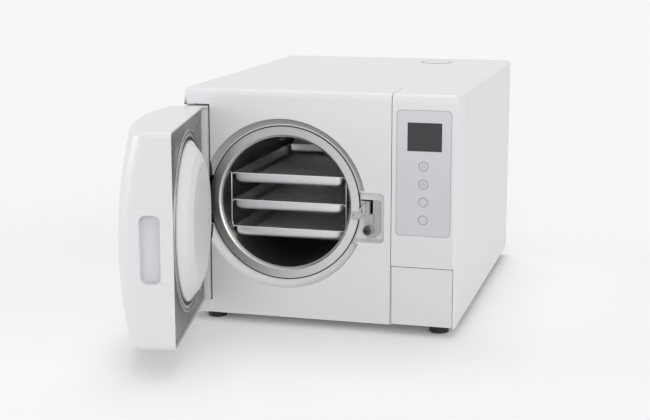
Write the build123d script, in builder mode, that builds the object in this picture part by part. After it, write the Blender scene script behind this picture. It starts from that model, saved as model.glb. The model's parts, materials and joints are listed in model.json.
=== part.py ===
"""Bench-top steam autoclave, front loading, with its round door standing open.

Everything is drawn from the cabinet's own corner: X to the right seen from the front, Y from the front
face towards the back, Z up from the bench. The door is drawn shut and then swung open about its hinge.
The last lines move all pieces so that the origin lies on the bench under the middle of the whole outline.
"""

import os
from math import sqrt

from build123d import *

os.makedirs("parts", exist_ok=True)

# Cabinet, outside sizes
cabinet_width = 510.0
cabinet_depth = 676.0
cabinet_top = 438.0
foot_height = 16.0
front_depth = 88.0
mould_wall = 3.0
sheet_wall = 1.2
top_edge_radius = 14.0
side_edge_radius = 7.0
seam = 1.2

# Chamber and its steel ring
ring_x = 188.7
ring_z = 229.0
ring_bore_radius = 123.5
ring_outer_radius = 142.5
ring_face_y = 12.0
ring_thickness = 22.0
ring_lip = 8.0
vessel_radius = 122.0
vessel_wall = 2.5
vessel_length = 440.0
vessel_bulge = 26.0
opening_edge_radius = 14.0
ring_gap = 1.0

# Left part of the front, around the door's hinge side
panel_right = 391.2
recess_right = 49.7
recess_bottom = 40.7
recess_top = 408.0
recess_depth = 18.0
notch_half_height = 46.0
notch_left = 8.0
notch_right = 62.0

# Finger and latch pocket to the right of the ring
pocket_margin = 12.2
pocket_bottom = 166.0
pocket_top = 258.0
pocket_taper = 14.0
pocket_corner = 9.0

# Control part of the front
keypad_seam_margin = 8.2
keypad_side_margin = 11.1
keypad_top_margin = 28.0
keypad_height = 226.0
keypad_corner = 8.0
keypad_thickness = 0.8
display_left_margin = 19.4
display_right_margin = 16.9
display_top_margin = 22.0
display_height = 51.0
button_drop = 26.5
button_pitch = 32.5
button_count = 4
button_radius = 7.6
button_clearance = 0.3
button_travel = 1.0
board_y = 9.0
board_wall = 1.6

# Service door at the foot of the control part
service_seam_margin = 1.4
service_side_margin = 4.6
service_bottom = 17.6
service_top = 125.0
service_thickness = 2.6
service_gap = 0.4
service_hinge_y = 6.4
service_hinge_z = 22.2
service_pin_radius = 1.5
service_knuckle_radius = 3.4
service_knuckle_length = 8.0
service_knuckle_left_inset = 18.2
service_knuckle_right_inset = 19.4
service_ear_length = 5.7
service_catch_width = 10.0
bay_seam_margin = 8.6
bay_side_margin = 11.0
bay_bottom = 34.0
bay_top = 118.0
bay_depth = 66.0
bay_wall = 2.0
valve_knob_radius = 11.0
valve_rise = 20.0
filter_radius = 20.0
filter_rise = 56.0

# Door: its open angle, its hinge, and its sizes when it is shut
door_open_angle = 78.6
hinge_x = 22.5
hinge_y = -22.5
hinge_pin_radius = 5.0
hinge_boss_radius = 9.0
running_gap = 0.05
end_gap = 0.3
arm_inner = 20.0
arm_outer = 34.0
knuckle_outer = 54.0
door_left = 0.5
door_right = 352.0
door_bottom = 42.7
door_top = 406.0
door_rim_y = -1.5
door_skirt_y = 7.0
door_crown_y = -115.5
door_crown_x = 176.0
door_crown_z = 206.0
door_bow_radius = 600.0
door_bow_height_radius = 800.0
door_wall = 3.0
door_free_edge_radius = 42.0
door_hinge_edge_radius = 12.0
door_cap_edge_radius = 11.0
door_notch_half_height = 43.0
door_notch_y = -32.0

# Finger pull in the free side of the door
pull_bottom = 157.0
pull_top = 271.0
pull_lip_y = -23.0
pull_front_y = -57.0
pull_depth = 23.0
pull_lip_recess = 1.5
pull_fill = 4.0
pull_round = 11.0

# Steel liner, pressure plate and seal on the inside of the door
liner_y = -6.0
liner_wall = 1.5
liner_left = 9.0
liner_gap = 0.2
liner_flange = 12.0
liner_notch_right = 46.0
carrier_wall = 10.0
carrier_right = 240.0
plate_radius = 157.0
plate_proud = 4.5
plate_edge_round = 1.0
groove_inner = 139.5
groove_outer = 145.5
groove_depth = 3.0
seal_radius = 138.0
seal_base_proud = 7.0
seal_shoulder_radius = 131.0
seal_shoulder_proud = 11.5
seal_neck_radius = 119.0
seal_neck_proud = 21.0
seal_nose_radius = 101.0
seal_nose_proud = 28.0

# Latch plate with its flap and slot, link to the ring, bush and locking bolt
latch_ring_gap = 8.8
latch_pocket_gap = 9.4
latch_bottom = 172.2
latch_top = 241.7
latch_y = 14.0
latch_thickness = 2.5
latch_corner = 6.0
latch_slot_left = 9.6
latch_slot_width = 5.8
latch_slot_bottom = 216.8
latch_slit = 2.4
flap_y = 11.4
flap_bottom = 196.0
flap_top = 216.0
flap_overhang = 1.7
link_y = 9.9
link_lug_y = 11.3
link_lug_bottom = 204.5
link_lug_top = 220.5
link_rod_z = 235.5
link_rod_radius = 1.0
bolt_x = 345.2
bolt_z = 187.0
bolt_radius = 3.2
bolt_bush_x = 348.0
bolt_bush_radius = 8.0
bolt_bush_y = 2.0
bolt_front_y = 5.0

# Rack and trays
tray_count = 3
tray_pitch = 50.5
tray_first_z = 49.0
tray_rim_width = 208.0
tray_top_width = 201.0
tray_floor_width = 190.0
tray_height = 20.0
tray_length = 366.0
tray_front_y = 34.0
tray_sheet = 1.2
wire_radius = 1.5
rack_post_x = 106.0
rack_rear_y = 404.0

# Feet
foot_radius = 18.0
foot_neck_radius = 6.0
foot_left_x = 48.0
foot_right_margin = 34.0
foot_front_y = 36.0
foot_rear_margin = 46.0

# Filler in the top cover
filler_x = 359.0
filler_rear_margin = 66.0
filler_radius = 31.5
filler_lip = 1.5
filler_rise = 1.2
filler_depth = 14.0
filler_wall = 2.0
filler_throat = 18.0
cap_gap = 1.0
cap_sink = 0.8

# Rear: fan, inlet, switch
fan_x = 130.0
fan_z = 110.0
fan_size = 120.0
fan_thickness = 25.0
fan_rotor_radius = 54.0
fan_hub_radius = 19.0
fan_blades = 7
inlet_side_margin = 58.0
inlet_z = 76.0
switch_z = 116.0
rear_lip = 1.5
vent_top_margin = 48.0
vent_height = 90.0

# Water side and steam side, behind and beside the chamber
tank_left = 300.0
tank_side_margin = 10.0
tank_front_gap = 40.0
tank_rear_margin = 21.0
tank_bottom = 215.0
tank_wall = 2.5
tank_corner = 10.0
tank_shelf = 2.0
tank_shelf_margin = 4.0
used_tank_inset = 6.0
used_tank_rear_inset = 5.0
used_tank_top = 180.0
supply_width = 70.0
supply_tank_gap = 20.0
supply_rear_margin = 66.0
supply_height = 44.0
supply_fin_pitch = 12.0
pump_x = 257.5
pump_length = 105.0
condenser_half_width = 58.0
condenser_bottom = 190.0
condenser_top = 290.0
condenser_depth = 40.0
condenser_rear_margin = 36.0
generator_side_margin = 70.0
generator_y = 400.0
manifold_side_margin = 69.0
main_board_top_margin = 28.0
main_board_height = 160.0
main_board_gap = 18.0

# Values that follow from the sizes above
body_bottom = foot_height
pan_wall = 1.5
pan_z = body_bottom + mould_wall
pan_top = pan_z + pan_wall
pan_front_y = 16.0
control_left = panel_right + seam
pocket_right = panel_right - pocket_margin
keypad_left = control_left + keypad_seam_margin
keypad_right = cabinet_width - keypad_side_margin
keypad_top = cabinet_top - keypad_top_margin
keypad_bottom = keypad_top - keypad_height
display_left = keypad_left + display_left_margin
display_right = keypad_right - display_right_margin
display_top = keypad_top - display_top_margin
display_bottom = display_top - display_height
button_x = (keypad_left + keypad_right) / 2
button_top_z = display_bottom - button_drop
service_left = control_left + service_seam_margin
service_right = cabinet_width - service_side_margin
service_middle = (service_left + service_right) / 2
bay_left = control_left + bay_seam_margin
bay_right = cabinet_width - bay_side_margin
foot_right_x = cabinet_width - foot_right_margin
foot_rear_y = cabinet_depth - foot_rear_margin
filler_y = cabinet_depth - filler_rear_margin
inlet_x = cabinet_width - inlet_side_margin
latch_left = ring_x + ring_outer_radius + latch_ring_gap
latch_right = pocket_right - latch_pocket_gap
latch_slot_right = latch_left + latch_slot_left + latch_slot_width
arm_side = ring_x - ring_outer_radius - 1.7
opening_radius = ring_outer_radius + ring_gap
funnel_radius = opening_radius + opening_edge_radius
ring_back_y = ring_face_y + ring_thickness
vessel_front_y = ring_face_y + ring_lip
vessel_back_y = vessel_front_y + vessel_length
vessel_outer = vessel_radius + vessel_wall
pocket_depth = latch_y + latch_thickness
liner_right = door_right - door_wall - liner_gap
liner_bottom = door_bottom + door_wall + liner_gap
liner_top = door_top - door_wall - liner_gap
liner_back_y = liner_y - liner_wall
carrier_y = liner_back_y - carrier_wall
plate_face_y = liner_y + plate_proud
cover_front_y = front_depth + seam
cover_back_y = cabinet_depth - sheet_wall
inner_top = cabinet_top - mould_wall
tank_right = cabinet_width - tank_side_margin
tank_front_y = vessel_back_y + tank_front_gap
tank_back_y = cabinet_depth - tank_rear_margin
bore = Axis((ring_x, 0, ring_z), (0, 1, 0))
hinge_line = Axis((hinge_x, hinge_y, 0), (0, 0, 1))
bore_plane = Plane(origin=(ring_x, 0, ring_z), x_dir=(1, 0, 0), z_dir=(0, 0, 1))
pieces = {}
door_pieces = []


def keep(name, builder, on_door=False):
    """Labels a finished piece and notes it for the export at the end."""
    pieces[name] = builder.part
    if on_door and name not in door_pieces:
        door_pieces.append(name)


def cap_rise(radius, rim, height):
    """How far a dome of this rim and height stands out at a radius."""
    ball = (rim * rim + height * height) / (2 * height)
    return height - ball + sqrt(ball * ball - radius * radius)


def front(y):
    """A plane facing the viewer at depth y; its x and y run along X and Z."""
    return Plane(origin=(0, y, 0), x_dir=(1, 0, 0), z_dir=(0, -1, 0))


def side(x):
    """A plane across the cabinet at x; its x and y run along Y and Z."""
    return Plane(origin=(x, 0, 0), x_dir=(0, 1, 0), z_dir=(1, 0, 0))


def block(x0, x1, y0, y1, z0, z1, radius=0.0, axis=Axis.Z):
    """A box between two corners; its edges along one axis can be rounded."""
    with BuildPart() as made:
        with Locations(((x0 + x1) / 2, (y0 + y1) / 2, (z0 + z1) / 2)):
            Box(x1 - x0, y1 - y0, z1 - z0)
        if radius:
            fillet(made.edges().filter_by(axis), radius)
    return made.part


def along_y(x, z, radius, y0, y1):
    """A round bar along Y."""
    with BuildPart() as made:
        with BuildSketch(front(y0)):
            with Locations((x, z)):
                Circle(radius)
        extrude(amount=-(y1 - y0))
    return made.part


def along_x(y, z, radius, x0, x1):
    """A round bar along X."""
    with BuildPart() as made:
        with BuildSketch(side(x0)):
            with Locations((y, z)):
                Circle(radius)
        extrude(amount=x1 - x0)
    return made.part


def along_z(x, y, radius, z0, z1):
    """A round bar along Z."""
    with BuildPart() as made:
        with BuildSketch(Plane.XY.offset(z0)):
            with Locations((x, y)):
                Circle(radius)
        extrude(amount=z1 - z0)
    return made.part


def tube_y(x, z, inner, outer, y0, y1):
    """A tube along Y."""
    with BuildPart() as made:
        with BuildSketch(front(y0)):
            with Locations((x, z)):
                Circle(outer)
                Circle(inner, mode=Mode.SUBTRACT)
        extrude(amount=-(y1 - y0))
    return made.part


def turned(points):
    """A body turned about the chamber's axis from points of radius and Y."""
    with BuildPart() as made:
        with BuildSketch(bore_plane):
            with BuildLine():
                Polyline(*points, close=True)
            make_face()
        revolve(axis=bore)
    return made.part


def plan_plate(points, z0, z1):
    """A flat shape drawn in X and Y, as thick as z0 to z1."""
    with BuildPart() as made:
        with BuildSketch(Plane.XY.offset(z0)):
            with BuildLine():
                Polyline(*points, close=True)
            make_face()
        extrude(amount=z1 - z0)
    return made.part


def front_plate(x0, x1, z0, z1, y0, y1, radius):
    """A plate facing the viewer with rounded corners."""
    with BuildPart() as made:
        with BuildSketch(front(y0)):
            with Locations(((x0 + x1) / 2, (z0 + z1) / 2)):
                RectangleRounded(x1 - x0, z1 - z0, radius)
        extrude(amount=-(y1 - y0))
    return made.part


def hood(x0, x1, y0, y1, z0, z1, top_radius, side_radius, left, right):
    """A moulded front block: rounded top edge and, where asked, rounded outer sides."""
    with BuildPart() as made:
        with BuildSketch(side(x0)):
            with BuildLine():
                Line((y0, z0), (y0, z1 - top_radius))
                RadiusArc((y0, z1 - top_radius), (y0 + top_radius, z1), top_radius)
                Polyline((y0 + top_radius, z1), (y1, z1), (y1, z0), (y0, z0))
            make_face()
        extrude(amount=x1 - x0)
        for wanted, index in ((left, 0), (right, -1)):
            if wanted:
                end = made.faces().filter_by(Axis.X).sort_by(Axis.X)[index]
                chain = end.edges().filter_by(lambda e: e.center().Z > z0 + 1 and e.center().Y < y1 - 1)
                fillet(chain, side_radius)
    return made.part


def band(x0, x1, y0, y1, z0, z1, wall, radius):
    """Two sides and a top in one sheet, open below."""
    with BuildPart() as made:
        with BuildSketch(front(y0)):
            with Locations(((x0 + x1) / 2, (z0 + z1) / 2)):
                RectangleRounded(x1 - x0, z1 - z0, radius)
                RectangleRounded(x1 - x0 - 2 * wall, z1 - z0 - 2 * wall, radius - wall, mode=Mode.SUBTRACT)
            with Locations(((x0 + x1) / 2, z0)):
                Rectangle(x1 - x0 + 2, 2 * radius, mode=Mode.SUBTRACT)
            with Locations((x0 + wall / 2, z0 + radius / 2), (x1 - wall / 2, z0 + radius / 2)):
                Rectangle(wall, radius)
        extrude(amount=-(y1 - y0))
    return made.part


# Moulded front, left part: round opening, recess for the door's hinge side, latch pocket
hood_left = hood(0, panel_right, 0, front_depth, body_bottom, cabinet_top,
                 top_edge_radius, side_edge_radius, True, False)
hollow_left = hood(mould_wall, panel_right - mould_wall, mould_wall, front_depth + 1,
                   body_bottom + mould_wall, inner_top, top_edge_radius - mould_wall,
                   side_edge_radius - mould_wall, True, False)
with BuildPart() as front_panel:
    add(hood_left)
    add(hollow_left, mode=Mode.SUBTRACT)
    add(along_y(ring_x, ring_z, funnel_radius, -1, mould_wall), mode=Mode.SUBTRACT)
    with BuildSketch(bore_plane):
        with BuildLine():
            lip_y = opening_edge_radius + 6.0
            outer_lip = opening_radius + mould_wall
            RadiusArc((funnel_radius, 0), (opening_radius, opening_edge_radius), opening_edge_radius)
            Polyline((opening_radius, opening_edge_radius), (opening_radius, lip_y), (outer_lip, lip_y),
                     (outer_lip, opening_edge_radius))
            RadiusArc((outer_lip, opening_edge_radius), (funnel_radius, mould_wall),
                      -(opening_edge_radius - mould_wall))
            Line((funnel_radius, mould_wall), (funnel_radius, 0))
        make_face()
    revolve(axis=bore)
    add(block(0, recess_right + mould_wall, mould_wall, recess_depth + mould_wall,
              recess_bottom - mould_wall, recess_top + mould_wall))
    add(block(ring_x + 100, pocket_right + mould_wall, mould_wall, pocket_depth + mould_wall,
              pocket_bottom - mould_wall, pocket_top + mould_wall))
    add(along_y(ring_x, ring_z, opening_radius, -1, pocket_depth + 3 * mould_wall), mode=Mode.SUBTRACT)
    with BuildSketch(bore_plane):
        with BuildLine():
            RadiusArc((funnel_radius, 0), (opening_radius, opening_edge_radius), opening_edge_radius)
            Polyline((opening_radius, opening_edge_radius), (opening_radius, -1), (funnel_radius, -1),
                     (funnel_radius, 0))
        make_face()
    revolve(axis=bore, mode=Mode.SUBTRACT)
    add(block(-1, recess_right, -1, recess_depth, recess_bottom, recess_top), mode=Mode.SUBTRACT)
    with BuildSketch(front(0)):
        with Locations(((ring_x + 100 + pocket_right) / 2, (pocket_bottom + pocket_top) / 2)):
            RectangleRounded(pocket_right - ring_x - 100, pocket_top - pocket_bottom, pocket_corner)
    extrude(amount=-pocket_depth, taper=pocket_taper, mode=Mode.SUBTRACT)
    add(block(notch_left, notch_right, -1, recess_depth + 2 * mould_wall,
              ring_z - notch_half_height, ring_z + notch_half_height), mode=Mode.SUBTRACT)
    add(along_y(bolt_x, bolt_z, bolt_radius + 1, 0, 2 * pocket_depth), mode=Mode.SUBTRACT)
    add(block(latch_left - 7, latch_slot_right, latch_y, 2 * pocket_depth, latch_top - latch_slit,
              latch_top + 0.6), mode=Mode.SUBTRACT)
    add(block(latch_left + latch_slot_left, latch_slot_right, latch_y, 2 * pocket_depth, latch_slot_bottom,
              latch_top), mode=Mode.SUBTRACT)
    add(along_z(foot_left_x, foot_front_y, foot_neck_radius + 0.1, 0, pan_z + 1), mode=Mode.SUBTRACT)
keep("front_panel", front_panel)

# Moulded front, right part: seat for the keypad, openings for display, buttons and service door
keypad_back_y = keypad_thickness + 0.1
button_zs = [button_top_z - i * button_pitch for i in range(button_count)]
hood_right = hood(control_left, cabinet_width, 0, front_depth, body_bottom, cabinet_top,
                  top_edge_radius, side_edge_radius, False, True)
hollow_right = hood(control_left + mould_wall, cabinet_width - mould_wall, mould_wall, front_depth + 1,
                    body_bottom + mould_wall, inner_top, top_edge_radius - mould_wall,
                    side_edge_radius - mould_wall, False, True)
with BuildPart() as control_module:
    add(hood_right)
    add(hollow_right, mode=Mode.SUBTRACT)
    for x in (keypad_left + 6, keypad_right - 6):
        for z in (keypad_bottom + 12, keypad_top - 12):
            add(along_y(x, z, 3, mould_wall - 1, board_y))
    add(front_plate(keypad_left - 0.2, keypad_right + 0.2, keypad_bottom - 0.2, keypad_top + 0.2,
                    -1, keypad_back_y, keypad_corner), mode=Mode.SUBTRACT)
    add(block(display_left, display_right, -1, 2 * mould_wall, display_bottom, display_top),
        mode=Mode.SUBTRACT)
    for z in button_zs:
        add(along_y(button_x, z, button_radius + button_clearance, -1, 2 * mould_wall), mode=Mode.SUBTRACT)
    add(block(service_left - service_gap, service_right + service_gap, -1, mould_wall + 0.02,
              0, service_top + service_gap), mode=Mode.SUBTRACT)
    add(block(service_left - service_gap, service_right + service_gap, -1, pan_front_y - 1,
              0, service_hinge_z), mode=Mode.SUBTRACT)
    add(along_z(foot_right_x, foot_front_y, foot_neck_radius + 0.1, 0, pan_z + 1), mode=Mode.SUBTRACT)
keep("control_module", control_module)

with BuildPart() as control_keypad:
    add(front_plate(keypad_left, keypad_right, keypad_bottom, keypad_top,
                    keypad_back_y - keypad_thickness, keypad_back_y, keypad_corner))
    add(block(display_left, display_right, -1, 2, display_bottom, display_top), mode=Mode.SUBTRACT)
    for z in button_zs:
        add(along_y(button_x, z, button_radius + button_clearance, -1, 2), mode=Mode.SUBTRACT)
keep("control_keypad", control_keypad)

with BuildPart() as display_window:
    add(block(display_left + 0.1, display_right - 0.1, 0.3, mould_wall, display_bottom + 0.1,
              display_top - 0.1))
keep("display_window", display_window)

with BuildPart() as keypad_board:
    add(block(keypad_left + 1, keypad_right - 1, board_y, board_y + board_wall,
              keypad_bottom + 2, keypad_top - 2))
    add(block(display_left - 2, display_right + 2, mould_wall, board_y + 0.1, display_bottom - 2,
              display_top + 2))
    for z in button_zs:
        add(block(button_x - 3, button_x + 3, board_y - 2.4, board_y + 0.1, z - 3, z + 3))
    add(block(button_x - 20, button_x + 20, board_y + board_wall - 0.1, board_y + 9,
              keypad_bottom + 10, keypad_bottom + 18))
keep("keypad_board", keypad_board)

for i, z in enumerate(button_zs):
    with BuildPart() as button:
        add(along_y(button_x, z, button_radius, -0.5, mould_wall + 0.2))
        fillet(button.edges().sort_by(Axis.Y)[0], 0.4)
        add(along_y(button_x, z, button_radius + 1.6, mould_wall + 0.1, mould_wall + 1.2))
        add(along_y(button_x, z, 2, mould_wall + 1, board_y - 2.4 - button_travel - 0.1))
    keep(f"button_{i + 1}", button)

# Service door, its bay and what sits in it
knuckle_left = service_left + service_knuckle_left_inset
knuckle_right = service_right - service_knuckle_right_inset
knuckles = ((knuckle_left, knuckle_left + service_knuckle_length),
            (knuckle_right - service_knuckle_length, knuckle_right))
ears = ((knuckles[0][1] + end_gap, knuckles[0][1] + end_gap + service_ear_length),
        (knuckles[1][0] - end_gap - service_ear_length, knuckles[1][0] - end_gap))
with BuildPart() as service_door:
    add(block(service_left, service_right, 0, service_thickness, service_bottom, service_top, 2.0, Axis.Y))
    fillet(service_door.faces().sort_by(Axis.Y)[0].edges(), 0.8)
    for x0, x1 in knuckles:
        add(along_x(service_hinge_y, service_hinge_z, service_knuckle_radius, x0, x1))
        add(block(x0, x1, service_thickness - 0.5, service_hinge_y, service_hinge_z - service_knuckle_radius,
                  service_hinge_z + service_knuckle_radius))
        add(along_x(service_hinge_y, service_hinge_z, service_pin_radius + running_gap, x0 - 1, x1 + 1),
            mode=Mode.SUBTRACT)
    add(block(service_middle - service_catch_width / 2, service_middle + service_catch_width / 2,
              service_thickness - 0.5, service_thickness + 3, service_top - 14, service_top - 11))
keep("service_door", service_door)

bay_front_y = mould_wall + 0.02
filter_x = (bay_left + bay_right) / 2
with BuildPart() as service_bay:
    add(block(control_left + mould_wall + 0.1, cabinet_width - side_edge_radius - 0.1, bay_front_y,
              bay_front_y + bay_wall, service_hinge_z + 6, service_top + 9))
    add(block(bay_left - bay_wall, bay_right + bay_wall, bay_front_y, bay_front_y + bay_depth,
              bay_bottom - bay_wall, bay_top + bay_wall))
    add(block(bay_left, bay_right, 0, bay_front_y + bay_depth - bay_wall, bay_bottom, bay_top),
        mode=Mode.SUBTRACT)
    for x0, x1 in ears:
        add(block(x0, x1, bay_front_y, service_hinge_y + 2, service_hinge_z, service_hinge_z + 8))
        add(along_x(service_hinge_y, service_hinge_z, service_knuckle_radius - 0.4, x0, x1))
    add(block(service_middle - service_catch_width / 2, service_middle + service_catch_width / 2, 0,
              bay_front_y + bay_wall + 1, service_top - 16, service_top - 8), mode=Mode.SUBTRACT)
    add(along_x(service_hinge_y, service_hinge_z, service_pin_radius, knuckles[0][0], ears[0][1]))
    add(along_x(service_hinge_y, service_hinge_z, service_pin_radius, ears[1][0], knuckles[1][1]))
    for x in (bay_left + valve_knob_radius + 1, bay_right - valve_knob_radius - 1):
        add(along_y(x, bay_bottom + valve_rise, 5, bay_depth - 10, bay_depth + 10), mode=Mode.SUBTRACT)
    add(along_y(filter_x, bay_bottom + filter_rise, 9, bay_depth - 10, bay_depth + 10), mode=Mode.SUBTRACT)
keep("service_bay", service_bay)

bay_back_y = bay_front_y + bay_depth
valve_z = bay_bottom + valve_rise
valve_xs = {"clean": bay_left + valve_knob_radius + 1, "used": bay_right - valve_knob_radius - 1}
with BuildPart() as drain_valves:
    for x in valve_xs.values():
        add(along_y(x, valve_z, 5, bay_back_y - 4, bay_back_y + 14))
        add(along_y(x, valve_z, 9, bay_back_y - bay_wall - 8, bay_back_y - bay_wall))
        add(along_y(x, valve_z, 3, bay_back_y - 22, bay_back_y - 8))
keep("drain_valves", drain_valves)
for water, x in valve_xs.items():
    with BuildPart() as knob:
        add(along_y(x, valve_z, valve_knob_radius, bay_back_y - 24, bay_back_y - bay_wall - 8.3))
        add(block(x - 2.2, x + 2.2, bay_back_y - 32, bay_back_y - 23, valve_z - valve_knob_radius,
                  valve_z + valve_knob_radius))
        add(along_y(x, valve_z, 3 + running_gap, bay_back_y - 22.1, bay_back_y), mode=Mode.SUBTRACT)
    keep(f"drain_knob_{water}", knob)

with BuildPart() as air_filter:
    z = bay_bottom + filter_rise
    add(along_y(filter_x, z, filter_radius, bay_back_y - 34, bay_back_y - bay_wall))
    fillet(air_filter.edges().sort_by(Axis.Y)[0], 3)
    add(along_y(filter_x, z, 8.95, bay_back_y - bay_wall - 1, bay_back_y + 12))
    add(along_y(filter_x, z, 6, bay_back_y - 44, bay_back_y - 33))
keep("air_filter", air_filter)

# Sheet parts of the cabinet
with BuildPart() as top_cover:
    add(band(0, cabinet_width, cover_front_y, cover_back_y, body_bottom, cabinet_top, sheet_wall,
             side_edge_radius))
    add(along_z(filler_x, filler_y, filler_radius + 0.1, cabinet_top - 20, cabinet_top + 1),
        mode=Mode.SUBTRACT)
keep("top_cover", top_cover)

with BuildPart() as front_frame:
    inset = mould_wall + 0.1
    add(band(inset, cabinet_width - inset, front_depth - 18, cover_front_y + 20, pan_top, cabinet_top - inset,
             1.5, side_edge_radius))
    inset = sheet_wall + 0.1
    add(band(inset, cabinet_width - inset, cover_front_y + 0.2, cover_front_y + 20, pan_top,
             cabinet_top - inset, 3.2, side_edge_radius))
    add(block(panel_right - mould_wall - 0.1, control_left + mould_wall + 0.1, 0, front_depth + 0.1, 0,
              cabinet_top), mode=Mode.SUBTRACT)
    add(block(panel_right - 1.5, control_left + 1.5, front_depth + 0.1, cover_front_y + 20, pan_top,
              cabinet_top - 4))
keep("front_frame", front_frame)

with BuildPart() as base_pan:
    add(block(sheet_wall + 0.1, cabinet_width - sheet_wall - 0.1, cover_front_y, cover_back_y, pan_z, pan_top))
    add(block(mould_wall + 0.1, cabinet_width - mould_wall - 0.1, pan_front_y, cover_front_y + 1,
              pan_z, pan_top))
    add(block(panel_right - mould_wall - 0.1, control_left + mould_wall + 0.1, 0, front_depth + 0.1, 0,
              cabinet_top), mode=Mode.SUBTRACT)
    add(block(sheet_wall + 0.1, sheet_wall + 1.6, cover_front_y + 21, cover_back_y, pan_z, pan_top + 24))
    add(block(cabinet_width - sheet_wall - 1.6, cabinet_width - sheet_wall - 0.1, cover_front_y + 21,
              cover_back_y, pan_z, pan_top + 24))
    shelf_left = tank_left - tank_shelf_margin
    add(block(shelf_left, cabinet_width - sheet_wall - 1.5, tank_front_y - 2, tank_back_y + 5,
              tank_bottom - tank_shelf, tank_bottom))
    add(block(shelf_left, shelf_left + tank_shelf, tank_front_y - 2, tank_back_y + 5, pan_top - 0.5,
              tank_bottom - 1))
keep("base_pan", base_pan)

fan_y = cover_back_y - 0.1 - fan_thickness
with BuildPart() as rear_panel:
    add(front_plate(-rear_lip, cabinet_width + rear_lip, body_bottom, cabinet_top + rear_lip, cover_back_y,
                    cabinet_depth, side_edge_radius + rear_lip))
    for r in (22, 34, 46):
        with BuildSketch(front(cover_back_y)):
            with Locations((fan_x, fan_z)):
                Circle(r + 4)
                Circle(r - 4, mode=Mode.SUBTRACT)
                Rectangle(6, 120, mode=Mode.SUBTRACT)
                Rectangle(120, 6, mode=Mode.SUBTRACT)
        extrude(amount=-5, mode=Mode.SUBTRACT)
    vent_top_z = cabinet_top - vent_top_margin
    for x in range(60, 300, 16):
        add(block(x, x + 8, cover_back_y - 1, cabinet_depth + 1, vent_top_z - vent_height, vent_top_z),
            mode=Mode.SUBTRACT)
    add(block(inlet_x - 14, inlet_x + 14, cover_back_y - 1, cabinet_depth + 1, inlet_z - 10, inlet_z + 10),
        mode=Mode.SUBTRACT)
    add(block(inlet_x - 11, inlet_x + 11, cover_back_y - 1, cabinet_depth + 1, switch_z - 7, switch_z + 7),
        mode=Mode.SUBTRACT)
    add(along_y(filler_x + 60, 200, 9, cover_back_y - 1, cabinet_depth + 1), mode=Mode.SUBTRACT)
keep("rear_panel", rear_panel)

for name, y, neck in (("feet_front", foot_front_y, True), ("feet_rear", foot_rear_y, False)):
    with BuildPart() as feet:
        for x in (foot_left_x, foot_right_x):
            add(along_z(x, y, foot_radius, 0, foot_height if neck else pan_z))
            if neck:
                add(along_z(x, y, foot_neck_radius, foot_height - 1, pan_z))
        fillet(feet.edges().filter_by(lambda e: e.center().Z < 0.1), 2)
    keep(name, feet)

# Chamber, ring and what is wrapped round the vessel
with BuildPart() as flange_ring:
    add(turned([(ring_bore_radius + 1.5, ring_face_y), (ring_outer_radius - 1, ring_face_y),
                (ring_outer_radius, ring_face_y + 1), (ring_outer_radius, ring_back_y),
                (vessel_outer + 0.05, ring_back_y), (vessel_outer + 0.05, vessel_front_y),
                (ring_bore_radius, vessel_front_y), (ring_bore_radius, ring_face_y + 1.5)]))
keep("flange_ring", flange_ring)

inner_bulge = vessel_bulge - vessel_wall
inner_end = vessel_back_y + inner_bulge
outer_mid = (70, vessel_back_y + cap_rise(70, vessel_outer, vessel_bulge))
inner_mid = (70, vessel_back_y + cap_rise(70, vessel_radius, inner_bulge))
with BuildPart() as vessel_form:
    with BuildSketch(bore_plane):
        with BuildLine():
            Polyline((0, vessel_front_y), (vessel_outer, vessel_front_y), (vessel_outer, vessel_back_y))
            ThreePointArc((vessel_outer, vessel_back_y), outer_mid, (0, vessel_back_y + vessel_bulge))
            Line((0, vessel_back_y + vessel_bulge), (0, vessel_front_y))
        make_face()
    revolve(axis=bore)
with BuildPart() as chamber_vessel:
    with BuildSketch(bore_plane):
        with BuildLine():
            Polyline((vessel_radius, vessel_front_y), (vessel_outer, vessel_front_y),
                     (vessel_outer, vessel_back_y))
            ThreePointArc((vessel_outer, vessel_back_y), outer_mid, (0, vessel_back_y + vessel_bulge))
            Line((0, vessel_back_y + vessel_bulge), (0, inner_end))
            ThreePointArc((0, inner_end), inner_mid, (vessel_radius, vessel_back_y))
            Line((vessel_radius, vessel_back_y), (vessel_radius, vessel_front_y))
        make_face()
    revolve(axis=bore)
keep("chamber_vessel", chamber_vessel)

heater_front_y = 150.0
heater_back_y = 380.0
heater_radius = vessel_outer + 2.5
with BuildPart() as heater_band:
    add(tube_y(ring_x, ring_z, vessel_outer + 0.05, heater_radius, heater_front_y, heater_back_y))
    add(block(ring_x - 20, ring_x + 20, 240, 290, ring_z - heater_radius - 14, ring_z - heater_radius + 1))
keep("heater_band", heater_band)

insulation_front_y = 46.0
insulation_radius = 150.0
with BuildPart() as chamber_insulation:
    add(tube_y(ring_x, ring_z, vessel_outer + 0.1, insulation_radius, insulation_front_y, vessel_back_y))
    add(tube_y(ring_x, ring_z, vessel_outer - 2, heater_radius + 0.1, heater_front_y - 0.1,
               heater_back_y + 0.1), mode=Mode.SUBTRACT)
    add(block(ring_x - 21, ring_x + 21, 239, 291, 0, ring_z - heater_radius + 2), mode=Mode.SUBTRACT)
    for y in (170.0, 360.0):
        add(block(ring_x + 60, ring_x + 84, y - 12, y + 12, ring_z - 160, ring_z - 60), mode=Mode.SUBTRACT)
        add(block(ring_x - 84, ring_x - 60, y - 12, y + 12, ring_z - 160, ring_z - 60), mode=Mode.SUBTRACT)
keep("chamber_insulation", chamber_insulation)

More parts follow.
